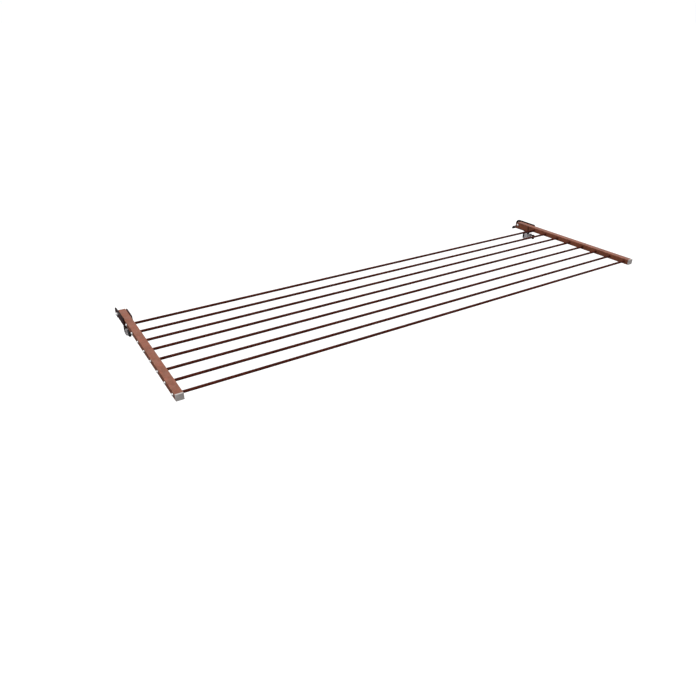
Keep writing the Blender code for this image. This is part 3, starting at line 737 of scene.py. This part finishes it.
def make_front_caps():
    """Grey moulded cap: rounded rim, sunk panel, gate mark and a hollow plug in the tube."""
    low, high = limits("front_cap")
    tube_low, tube_high = limits("arm")
    skirt_end = tube_low.y - SLACK
    rim = 1.5 * MM
    shape = loft("Y", cap_sections(tube_section(0, ARM_CORNER), low.y, skirt_end, rim))
    margin = 3.4 * MM
    sunk = 0.5 * MM
    panel = prism(tube_section(margin, rim), "Y", low.y - sunk, low.y + sunk)
    shape = cut(shape, panel)
    gate_foot = low.y + OVER
    gate_profile = [
        (0, low.y + sunk - 0.3 * MM),
        (1.2 * MM, low.y + sunk - 0.15 * MM),
        (1.4 * MM, gate_foot),
        (0, gate_foot),
    ]
    centre = ((tube_low.x + tube_high.x) / 2, (tube_low.z + tube_high.z) / 2)
    gate = turned("Y", centre, gate_profile, 24)
    gap = ARM_WALL + SLACK
    plug = prism(tube_section(gap, 0.6 * MM, 3), "Y", skirt_end - OVER, high.y)
    shape = join(shape, gate, plug)
    wall = 1.6 * MM
    floor = low.y + 2.5 * MM
    recess = prism(tube_section(gap + wall, 0.8 * MM, 3), "Y", floor, high.y + wall)
    shape = cut(shape, recess)
    soften(shape, 0.18 * MM, angle=40)
    rim_end = low.y + 1.4 * MM

    def on_rim(face):
        """Whether a face slants between the cap's front and its sides."""
        return face.calc_center_median().y < rim_end and 0.25 < abs(face.normal.y) < 0.98

    show_pair("front_cap", mark(shape, on_rim))


def make_rear_caps():
    """Brown moulded plate with a rounded rear rim and two tongues inside the tube."""
    low, high = limits("rear_cap")
    tube_low, tube_high = limits("arm")
    plate_front = tube_high.y + SLACK
    rim = 1.1 * MM
    shape = loft("Y", cap_sections(tube_section(0, ARM_CORNER), high.y, plate_front, rim))
    reach = ARM_WALL + SLACK
    across = (tube_low.x + 2 * ARM_WALL, tube_high.x - 2 * ARM_WALL)
    deep = (low.y, high.y - OVER)
    lower = slab(across, deep, (tube_low.z + reach, tube_low.z + 2 * reach))
    upper = slab(across, deep, (tube_high.z - 2 * reach, tube_high.z - reach))
    shape = join(shape, lower, upper)
    soften(shape, 0.15 * MM, angle=40)
    show_pair("rear_cap", shape)


def make_rod_screws():
    """Pan-head screws with a cross recess, each left at its own angle."""
    low, high = limits("rod_screw_1")
    head_radius = radius_of("right_rod_screw_1")
    head_height = 4 * MM
    shank = 1.7 * MM
    tip = -head_height - 12 * MM
    dome = []
    for k in range(12):
        angle = math.pi / 2 * k / 12
        dome.append((head_radius * math.sin(angle), -head_height * (1 - math.cos(angle)) * 0.95))
    dome += [
        (head_radius, -head_height + 0.15 * MM),
        (head_radius - 0.2 * MM, -head_height),
        (shank, -head_height),
        (shank, tip),
        (0.4 * shank, tip - 1.4 * MM),
        (0, low.x - high.x),
    ]
    first_angle, next_angle = 23, 37
    for number, centre in enumerate(ROD_LINE, start=1):
        shape = cut(turned("X", (0, 0), dome, 40), *phillips(1.9 * MM, 5.2 * MM, 1.1 * MM))
        turn(shape, "X", first_angle + next_angle * number, (0, 0, 0))
        moved(shape, (0, *centre))
        show_pair(f"rod_screw_{number}", shape, outward=high.x)


def make_pivot_bushes():
    """Nylon bush with eased rims."""
    low, high = limits("pivot_bush")
    shape = pipe("X", PIVOT, BOLT_HOLE, BUSH_RADIUS, low.x, high.x, lead=0.4 * MM, steps=48)
    show_pair("pivot_bush", shape)


def make_brackets():
    """Folded channel: tall outer cheek, shorter inner ear, and a tongue bent down behind."""
    low, high = limits("bracket")
    half = high.x
    base_bottom = limits("foot_pad")[1].z + SLACK
    base_top = base_bottom + SHEET
    inner_bend = SHEET_BEND - SHEET
    channel = [
        (-half, high.z, 0),
        (-half, base_bottom, SHEET_BEND),
        (half, base_bottom, SHEET_BEND),
        (half, high.z, 0),
        (half - SHEET, high.z, 0),
        (half - SHEET, base_top, inner_bend),
        (-half + SHEET, base_top, inner_bend),
        (-half + SHEET, high.z, 0),
    ]
    shape = prism(fillet(channel, 8), "Y", low.y, high.y)

    beyond = 3 * MM
    front_radius = 5 * MM
    rear_radius = 20 * MM
    cheek = (half - SHEET_BEND, half + beyond)
    front_corner = [
        (low.y - beyond, high.z + beyond),
        (low.y - beyond, high.z - front_radius),
        *arc((low.y + front_radius, high.z - front_radius), front_radius, 180, 90, 10),
        (low.y + front_radius, high.z + beyond),
    ]
    rear_corner = [
        (high.y - rear_radius, high.z + beyond),
        *arc((high.y - rear_radius, high.z - rear_radius), rear_radius, 90, 0, 20),
        (high.y + beyond, high.z - rear_radius),
        (high.y + beyond, high.z + beyond),
    ]
    corners = [prism(outline, "X", *cheek) for outline in (front_corner, rear_corner)]

    shoulder = base_bottom + SHEET_BEND
    around_ear = [
        (low.y - beyond, shoulder, 0),
        (EAR_FRONT, shoulder, 0),
        (EAR_FRONT, EAR_TOP, 5 * MM),
        (EAR_REAR, EAR_TOP, 11 * MM),
        (EAR_REAR, shoulder, 0),
        (high.y + beyond, shoulder, 0),
        (high.y + beyond, high.z + beyond, 0),
        (low.y - beyond, high.z + beyond, 0),
    ]
    ear_gap = prism(fillet(around_ear, 10), "X", -half - beyond, -half + SHEET_BEND)
    shape = cut(shape, *corners, ear_gap)

    beside_tongue = [
        (-half - beyond, TONGUE_FRONT, 0),
        (TONGUE[0], TONGUE_FRONT, 4 * MM),
        (TONGUE[0], high.y + beyond, 0),
        (-half - beyond, high.y + beyond, 0),
    ]
    heights = (base_bottom - OVER, shoulder + OVER)
    lip_rear = high.y - LIP_INSET
    lip_root = lip_rear - 12 * MM
    relief_depth = 7 * MM
    deep = (lip_rear - relief_depth, high.y + beyond)
    relief = slab((-half, half - SHEET_BEND), deep, heights)
    shape = cut(shape, prism(fillet(beside_tongue, 8), "Z", *heights), relief)
    lip = [
        (lip_root, base_bottom, 0),
        (lip_rear - SHEET, base_bottom, inner_bend),
        (lip_rear - SHEET, low.z, 0),
        (lip_rear, low.z, 0),
        (lip_rear, base_top, SHEET_BEND),
        (lip_root, base_top, 0),
    ]
    relief_slot = 1.4 * MM
    shape = join(shape, prism(fillet(lip, 8), "X", TONGUE[0], TONGUE[1] - relief_slot))

    shank_hole = 2.8 * MM
    sink = [
        (0, base_bottom - OVER),
        (shank_hole, base_bottom - OVER),
        (shank_hole, base_top - 2.2 * MM),
        (5.3 * MM, base_top + SLACK),
        (0, base_top + SLACK),
    ]
    holes = [
        rod("X", PIVOT, BOLT_HOLE, -half - beyond, half + beyond),
        turned("Z", (0, HANGER_SCREW_Y), sink, 40),
    ]
    shape = cut(shape, *holes)
    soften(shape, 0.35 * MM, steps=3, angle=50)
    # The bracket is one coat in two tones: its ear's inner side takes the arm's lighter paint as
    # painted light.
    walls = half - SHEET - 0.1 * MM
    for face in shape.faces:
        centre = face.calc_center_median()
        if centre.z > shoulder and centre.x < -walls and face.normal.x < -0.7:
            face.material_index = 1        # painted light: the ear's inner side takes the arm's lighter paint, to show it lit
        elif centre.z > shoulder and centre.x > walls and face.normal.x < 0.5:
            face.material_index = 2        # painted shade: the cheek's side that faces the arm, near-black for the shadow there
    show_pair("bracket", shape, extra=[LOOKS["arm_brown"], BRACKET_PAINTED_SHADE])


def make_foot_pads():
    """Rubber sheet with eased edges."""
    low, high = limits("foot_pad")
    shape = prism(rounded((low.x, low.y), (high.x, high.y), 2.5 * MM), "Z", low.z, high.z)
    show_pair("foot_pad", soften(shape, 0.3 * MM, angle=60))


def make_lip_sleeves():
    """Rubber boot over the lip, with thick rounded walls."""
    low, high = limits("lip_sleeve")
    outline = rounded((low.x, low.y), (high.x, high.y), 2.2 * MM, 8)
    lead = 0.3 * MM
    rows = [(high.z, shrunk(outline, lead))]
    rows += cap_sections(outline, low.z, high.z - lead, 1.2 * MM)
    shape = loft("Z", rows)
    bracket_low, bracket_high = limits("bracket")
    lip_rear = bracket_high.y - LIP_INSET
    pocket = slab(
        (TONGUE[0] - SLACK, TONGUE[1] + SLACK),
        (lip_rear - SHEET - SLACK, lip_rear + SLACK),
        (bracket_low.z - SLACK, high.z + OVER),
    )
    show_pair("lip_sleeve", soften(cut(shape, pocket), 0.15 * MM, angle=60))


def make_pivot_bolts():
    """Button-head bolt with a hexagon socket."""
    low, high = limits("pivot_bolt")
    head_radius = radius_of("right_pivot_bolt")
    seat = -limits("bracket")[1].x - SLACK
    dome_height = seat - low.x
    socket_flats = 4.2 * MM
    socket_depth = 2.2 * MM
    profile = [(0, low.x)]
    for k in range(1, 9):
        angle = math.pi / 2 * k / 8
        share = math.sin(angle) ** 0.8
        profile.append((head_radius * share, low.x + dome_height * (1 - math.cos(angle)) * 0.93))
    profile += [
        (head_radius, seat - 0.25 * MM),
        (head_radius - 0.25 * MM, seat),
        (BOLT_RADIUS, seat),
        (BOLT_RADIUS, high.x - 0.7 * MM),
        (BOLT_RADIUS - 0.6 * MM, high.x),
        (0, high.x),
    ]
    shape = turned("X", PIVOT, profile, 48)
    socket = prism(hexagon(socket_flats, PIVOT, 15), "X", low.x - OVER, low.x + socket_depth)
    show_pair("pivot_bolt", soften(cut(shape, socket), 0.12 * MM, angle=55))


def make_pivot_nuts():
    """Chamfered lock nut with a nylon ring crimped into its outer end."""
    low, high = limits("pivot_nut")
    flats = high.z - low.z
    collar = 1.5 * MM
    shoulder = high.x - collar
    body = prism(hexagon(flats, PIVOT), "X", low.x, shoulder)
    corner = flats / 2 / math.cos(math.radians(30))
    lead = 0.55 * MM
    chamfers = [
        (0, low.x),
        (corner - lead, low.x),
        (corner + 0.1 * MM, low.x + 0.7 * lead),
        (corner + 0.1 * MM, shoulder - 0.7 * lead),
        (corner - lead, shoulder),
        (0, shoulder),
    ]
    shape = combine(body, "INTERSECT", turned("X", PIVOT, chamfers, 72))
    crimp = [
        (0, shoulder - 0.5 * MM),
        (flats / 2 - 0.1 * MM, shoulder - 0.5 * MM),
        (flats / 2 - 0.1 * MM, high.x - 0.9 * MM),
        (flats / 2 - 0.4 * MM, high.x - 0.3 * MM),
        (flats / 2 - 1.1 * MM, high.x),
        (0, high.x),
    ]
    shape = join(shape, turned("X", PIVOT, crimp, 64))
    bore = rod("X", PIVOT, BOLT_RADIUS + SLACK, low.x - OVER, high.x + OVER)
    show_pair("pivot_nut", soften(cut(shape, bore), 0.12 * MM, angle=35))


def make_arm_rests():
    """Rubber strip with rounded edges and two shallow grooves."""
    low, high = limits("arm_rest")
    shape = prism(rounded((low.x, low.y), (high.x, high.y), 2 * MM), "Z", low.z, high.z)
    grooves = []
    for share in (1 / 3, 2 / 3):
        y = low.y + (high.y - low.y) * share
        grooves.append(rod("X", (y, high.z), 0.6 * MM, low.x - OVER, high.x + OVER, 24))
    show_pair("arm_rest", soften(cut(shape, *grooves), 0.25 * MM, angle=50))


def make_hangers():
    """Folded plate: a flange under the base, a web beside the jaw, and a flange with weld nuts."""
    low, high = limits("hanger")
    front = low.y + WELD_NUT
    rear = front + SHEET
    inner, outer = low.x, high.x
    tight = SHEET_BEND - SHEET
    beyond = 2 * MM
    downward = [
        (outer, high.z - SHEET, 0),
        (outer, high.z, 0),
        (inner, high.z, SHEET_BEND),
        (inner, low.z, 0),
        (inner + SHEET, low.z, 0),
        (inner + SHEET, high.z - SHEET, tight),
    ]
    shape = prism(fillet(downward, 8), "Y", front + SHEET_BEND, high.y)

    radius = WEB_REAR - WEB_NECK
    heel = 5 * MM
    around_web = [
        (high.y + beyond, high.z + beyond),
        (WEB_NECK, high.z + beyond),
        *arc((WEB_NECK, WEB_SHOULDER_TOP - radius), radius, 90, 0, 16),
        *arc((WEB_REAR - heel, low.z + heel), heel, 0, -90, 8),
        (WEB_REAR - heel, low.z - beyond),
        (high.y + beyond, low.z - beyond),
    ]
    web = (inner - beyond, inner + SHEET_BEND)
    hole = rod("X", WEB_HOLE, WEB_HOLE_RADIUS, *web, steps=36)
    shape = cut(shape, prism(around_web, "X", *web), hole)

    overlap = front + SHEET_BEND + 3 * MM
    across = [
        (outer, rear, 0),
        (outer, front, 0),
        (inner, front, SHEET_BEND),
        (inner, overlap, 0),
        (inner + SHEET, overlap, 0),
        (inner + SHEET, rear, tight),
    ]
    flange = prism(fillet(across, 8), "Z", low.z, FRONT_FLANGE_TOP)
    corner = 4 * MM
    trims = []
    for z, sign in ((low.z, -1), (FRONT_FLANGE_TOP, 1)):
        trim = [
            (outer + beyond, z + sign * beyond),
            (outer - corner, z + sign * beyond),
            *arc((outer - corner, z - sign * corner), corner, sign * 90, 0, 8),
            (outer + beyond, z - sign * corner),
        ]
        trims.append(prism(trim, "Y", front - beyond, rear + beyond))
    shape = join(shape, cut(flange, *trims))

    nuts = []
    beads = []
    nut_reach = WELD_NUT_FLATS / 2
    holes = [rod("Z", (0, HANGER_SCREW_Y), HANGER_HOLE, high.z - SHEET - beyond, high.z + beyond)]
    for z in SCREW_LEVELS.values():
        axis = (SCREW_OUTWARD, z)
        nuts.append(prism(hexagon(WELD_NUT_FLATS, axis), "Y", low.y, front + OVER))
        bead = [
            (0, front - 0.9 * MM),
            (nut_reach, front - 0.9 * MM),
            (nut_reach + 0.6 * MM, front - 0.65 * MM),
            (nut_reach + 0.9 * MM, front + 0.4 * MM),
            (0, front + 0.4 * MM),
        ]
        beads.append(turned("Y", axis, bead, 40))
        holes.append(rod("Y", axis, SCREW_RADIUS + SLACK, low.y - beyond, rear + beyond))
    shape = join(shape, *nuts)
    shape = join(shape, *beads)
    show_pair("hanger", soften(cut(shape, *holes), 0.25 * MM, angle=48))


def make_hanger_screws():
    """Countersunk screw with a cross recess."""
    low, high = limits("hanger_screw")
    radius = (high.x - low.x) / 2
    shank = 2.4 * MM
    lead = 0.15 * MM
    profile = [
        (0, high.z),
        (radius - lead, high.z),
        (radius, high.z - lead),
        (shank, high.z - 2.1 * MM),
        (shank, low.z + 0.3 * MM),
        (shank - 0.3 * MM, low.z),
        (0, low.z),
    ]
    shape = turned("Z", (0, HANGER_SCREW_Y), profile, 40)
    recess = phillips(1.9 * MM, 4.4 * MM, 0.95 * MM)
    left_at = 30                   # degrees
    for blade in recess:
        turn(blade, "Y", -90, (0, 0, 0))
        turn(blade, "Z", left_at, (0, 0, 0))
        moved(blade, (0, HANGER_SCREW_Y, high.z))
    show_pair("hanger_screw", cut(shape, *recess))


def grip_line(offset, bottom, steps=18):
    """The jaw's gripping side, at a depth below the rubber's face, from top to bottom."""
    points = arc((GRIP_Y - CROWN_RADIUS, CROWN_Z), CROWN_RADIUS - offset, 90, 0, steps)
    points.append((GRIP_Y - offset, bottom))
    return points


def make_jaws():
    """Cast jaw with a round crown, and slots at its outer side for the clamp screws' ends."""
    low, high = limits("jaw")
    toe = 3 * MM
    heel = 4 * MM
    outline = grip_line(FACING + SLACK, low.z + toe)
    rear = outline[-1][0]
    outline += arc((rear - toe, low.z + toe), toe, 0, -90, 6)[1:]
    outline += arc((low.y + heel, low.z + heel), heel, 270, 180, 8)
    outline.append((low.y, high.z))
    shape = prism(outline, "X", low.x, high.x)

    front_wall = low.y + 1.7 * MM
    beyond = 2 * MM
    slots = []
    cuts = [
        (SCREW_RADIUS + SLACK, front_wall, front_wall + SCREW_COLLAR + 2 * SLACK),
        (SCREW_NECK + SLACK, low.y - beyond, front_wall + 0.5 * MM),
    ]
    for half, front, back in cuts:
        for z in SCREW_LEVELS.values():
            opening = arc((SCREW_OUTWARD, z), half, 90, 270, 14)
            opening += [(high.x + beyond, z - half), (high.x + beyond, z + half)]
            slots.append(prism(opening, "Y", front, back))
    shape = cut(shape, *slots)
    show_pair("jaw", soften(shape, 0.4 * MM, steps=3, angle=48))


def make_jaw_facings():
    """Rubber strip on the gripping side, with shallow grooves across its flat."""
    low, high = limits("jaw_facing")
    outline = grip_line(0, low.z) + grip_line(FACING, low.z)[::-1]
    shape = prism(outline, "X", low.x, high.x)
    grooves = []
    lowest, spacing = 2.5 * MM, 3 * MM
    for number in range(4):
        z = low.z + lowest + spacing * number
        grooves.append(rod("X", (GRIP_Y, z), 0.5 * MM, low.x - OVER, high.x + OVER, 20))
    show_pair("jaw_facing", soften(cut(shape, *grooves), 0.3 * MM, angle=50))


def screw_rows(z, rows, steps=36):
    """Rings of points about a clamp screw's axis; each row gives radius and Y for an angle."""
    rings = []
    for row in rows:
        ring = []
        for i in range(steps):
            angle = 2 * math.pi * i / steps
            radius, y = row(angle)
            ring.append(Vector((radius * math.cos(angle), y, z - radius * math.sin(angle))))
        rings.append(ring)
    return rings


def plain_row(radius, y):
    """A row at one radius and one distance all round."""
    return lambda angle: (radius, y)


def thread_row(number, per_turn, start, end, root):
    """One row of a right-hand thread, held at its two ends and cut down to the root there."""
    def row(angle):
        y = start + THREAD_PITCH * (number / per_turn - angle / (2 * math.pi))
        crest = number % per_turn < per_turn / 2
        deep = not crest or y <= start or y >= end
        return (root if deep else SCREW_RADIUS, min(max(y, start), end))
    return row


def make_clamp_screws():
    """Clamp screws with a real thread, a turned neck and a collar."""
    for level, z in SCREW_LEVELS.items():
        low, high = limits(f"{level}_clamp_screw")
        collar_front = high.y - SCREW_COLLAR
        neck_front = collar_front - 2.4 * MM
        start, end = low.y + 0.4 * MM, neck_front - 2.5 * MM
        per_turn = 4
        count = int((end - start) / THREAD_PITCH + 1) * per_turn + per_turn
        root = SCREW_RADIUS - THREAD_DEPTH
        lead = 0.25 * MM
        rows = [plain_row(0.8 * root, low.y), plain_row(root, low.y + 0.3 * MM)]
        rows += [thread_row(n, per_turn, start, end, root) for n in range(count)]
        tail = [
            (root, end + 0.01 * MM),
            (SCREW_RADIUS, end + 0.6 * MM),
            (SCREW_RADIUS, neck_front - lead),
            (SCREW_RADIUS - lead, neck_front),
            (SCREW_NECK, neck_front),
            (SCREW_NECK, collar_front),
            (SCREW_RADIUS - 0.2 * MM, collar_front),
            (SCREW_RADIUS, collar_front + 0.2 * MM),
            (SCREW_RADIUS, high.y - 0.3 * MM),
            (SCREW_RADIUS - 0.3 * MM, high.y),
        ]
        rows += [plain_row(radius, y) for radius, y in tail]
        shape = skin(screw_rows(z, rows))
        bmesh.ops.remove_doubles(shape, verts=shape.verts, dist=0.001 * MM)
        bmesh.ops.recalc_face_normals(shape, faces=shape.faces)
        crest = SCREW_RADIUS - 0.02 * MM

        def on_crest(face):
            high_up = all(math.hypot(v.co.x, v.co.z - z) > crest for v in face.verts)
            return high_up and face.calc_center_median().y < end

        mark(shape, on_crest)
        show_pair(f"{level}_clamp_screw", shape, False, SCREW_OUTWARD, smooth=30)


def lobed(centre, radius, depth, lobes=6, per_lobe=12):
    """A round grip outline with shallow lobes."""
    points = []
    for i in range(lobes * per_lobe):
        angle = 2 * math.pi * i / (lobes * per_lobe)
        reach = radius - depth / 2 + depth / 2 * math.cos(lobes * angle)
        points.append((centre[0] + reach * math.cos(angle), centre[1] + reach * math.sin(angle)))
    return points


def make_clamp_knobs():
    """Lobed plastic knob: rounded rims, a dished front and a raised collar at the back."""
    for level, z in SCREW_LEVELS.items():
        low, high = limits(f"{level}_clamp_knob")
        radius = (high.x - low.x) / 2
        front, back = low.y, high.y
        collar = 1.6 * MM
        rows = [
            (front + 0.9 * MM, 0.45, 0.0),
            (front + 0.6 * MM, 0.56, 0.0),
            (front + 0.1 * MM, 0.66, 0.2),
            (front, 0.74, 0.4),
            (front + 0.15 * MM, 0.86, 0.7),
            (front + 0.6 * MM, 0.96, 0.9),
            (front + 1.3 * MM, 1.0, 1.0),
            (back - collar - 1.2 * MM, 1.0, 1.0),
            (back - collar - 0.5 * MM, 0.95, 0.9),
            (back - collar - 0.1 * MM, 0.85, 0.5),
            (back - collar, 0.80, 0.0),
            (back - 0.3 * MM, 0.78, 0.0),
            (back, 0.73, 0.0),
        ]
        sections = [(y, lobed((0, z), radius * share, 0.9 * MM * lobe)) for y, share, lobe in rows]
        shape = loft("Y", sections)
        bore = rod("Y", (0, z), SCREW_RADIUS + SLACK, front + 1.9 * MM, back + OVER, 36)
        show_pair(f"{level}_clamp_knob", cut(shape, bore), False, SCREW_OUTWARD, smooth=40)


# ---------------------------------------------------------------- studio

def make_floor():
    """A wide pale floor at the height of a balcony floor."""
    shape = bmesh.new()
    bmesh.ops.create_circle(shape, cap_ends=True, segments=96, radius=FLOOR_RADIUS)
    floor = solid("studio_floor", moved(shape, (0, 0, FLOOR_HEIGHT)))
    floor.data.materials.append(studio_floor("studio_floor"))
    floor.visible_diffuse = False
    floor.visible_glossy = False


def make_lights():
    """Even light from the surroundings above the floor, dark ones below, and a broad soft sun."""
    world = bpy.data.worlds.new("studio")
    bpy.context.scene.world = world
    world.use_nodes = True
    tree = world.node_tree
    background = tree.nodes["Background"]
    background.inputs["Color"].default_value = SKY_COLOUR
    direction = tree.nodes.new("ShaderNodeTexCoord")
    split = tree.nodes.new("ShaderNodeSeparateXYZ")
    level = tree.nodes.new("ShaderNodeMapRange")
    spread = {"From": HORIZON, "To": (BELOW_LIGHT, SKY_LIGHT)}
    for name, (least, most) in spread.items():
        level.inputs[f"{name} Min"].default_value = least
        level.inputs[f"{name} Max"].default_value = most
    tree.links.new(direction.outputs["Generated"], split.inputs[0])
    tree.links.new(split.outputs["Z"], level.inputs["Value"])
    tree.links.new(level.outputs[0], background.inputs["Strength"])

    sun = bpy.data.lights.new("soft_sun", "SUN")
    sun.energy = SUN_LIGHT
    sun.angle = math.radians(SUN_SPREAD)
    sun.color = SUN_COLOUR
    thing = added("soft_sun", sun)
    thing.location = SUN_PLACE
    thing.rotation_euler = (-Vector(SUN_PLACE)).to_track_quat("-Z", "Y").to_euler()


def make_camera():
    camera = bpy.data.cameras.new("camera")
    camera.lens = CAMERA_LENS
    camera.sensor_width = SENSOR_WIDTH
    camera.clip_start, camera.clip_end = CAMERA_CLIP
    thing = added("camera", camera)
    thing.location = CAMERA_PLACE
    thing.rotation_euler = (math.radians(90 - CAMERA_PITCH), 0, math.radians(-CAMERA_YAW))
    bpy.context.scene.camera = thing


def main():
    make_rods()
    make_arms()
    make_front_caps()
    make_rear_caps()
    make_rod_screws()
    make_pivot_bushes()
    make_brackets()
    make_foot_pads()
    make_lip_sleeves()
    make_pivot_bolts()
    make_pivot_nuts()
    make_arm_rests()
    make_hangers()
    make_hanger_screws()
    make_jaws()
    make_jaw_facings()
    make_clamp_screws()
    make_clamp_knobs()
    make_floor()
    make_lights()
    make_camera()
    bpy.context.scene.view_settings.view_transform = "Standard"


main()
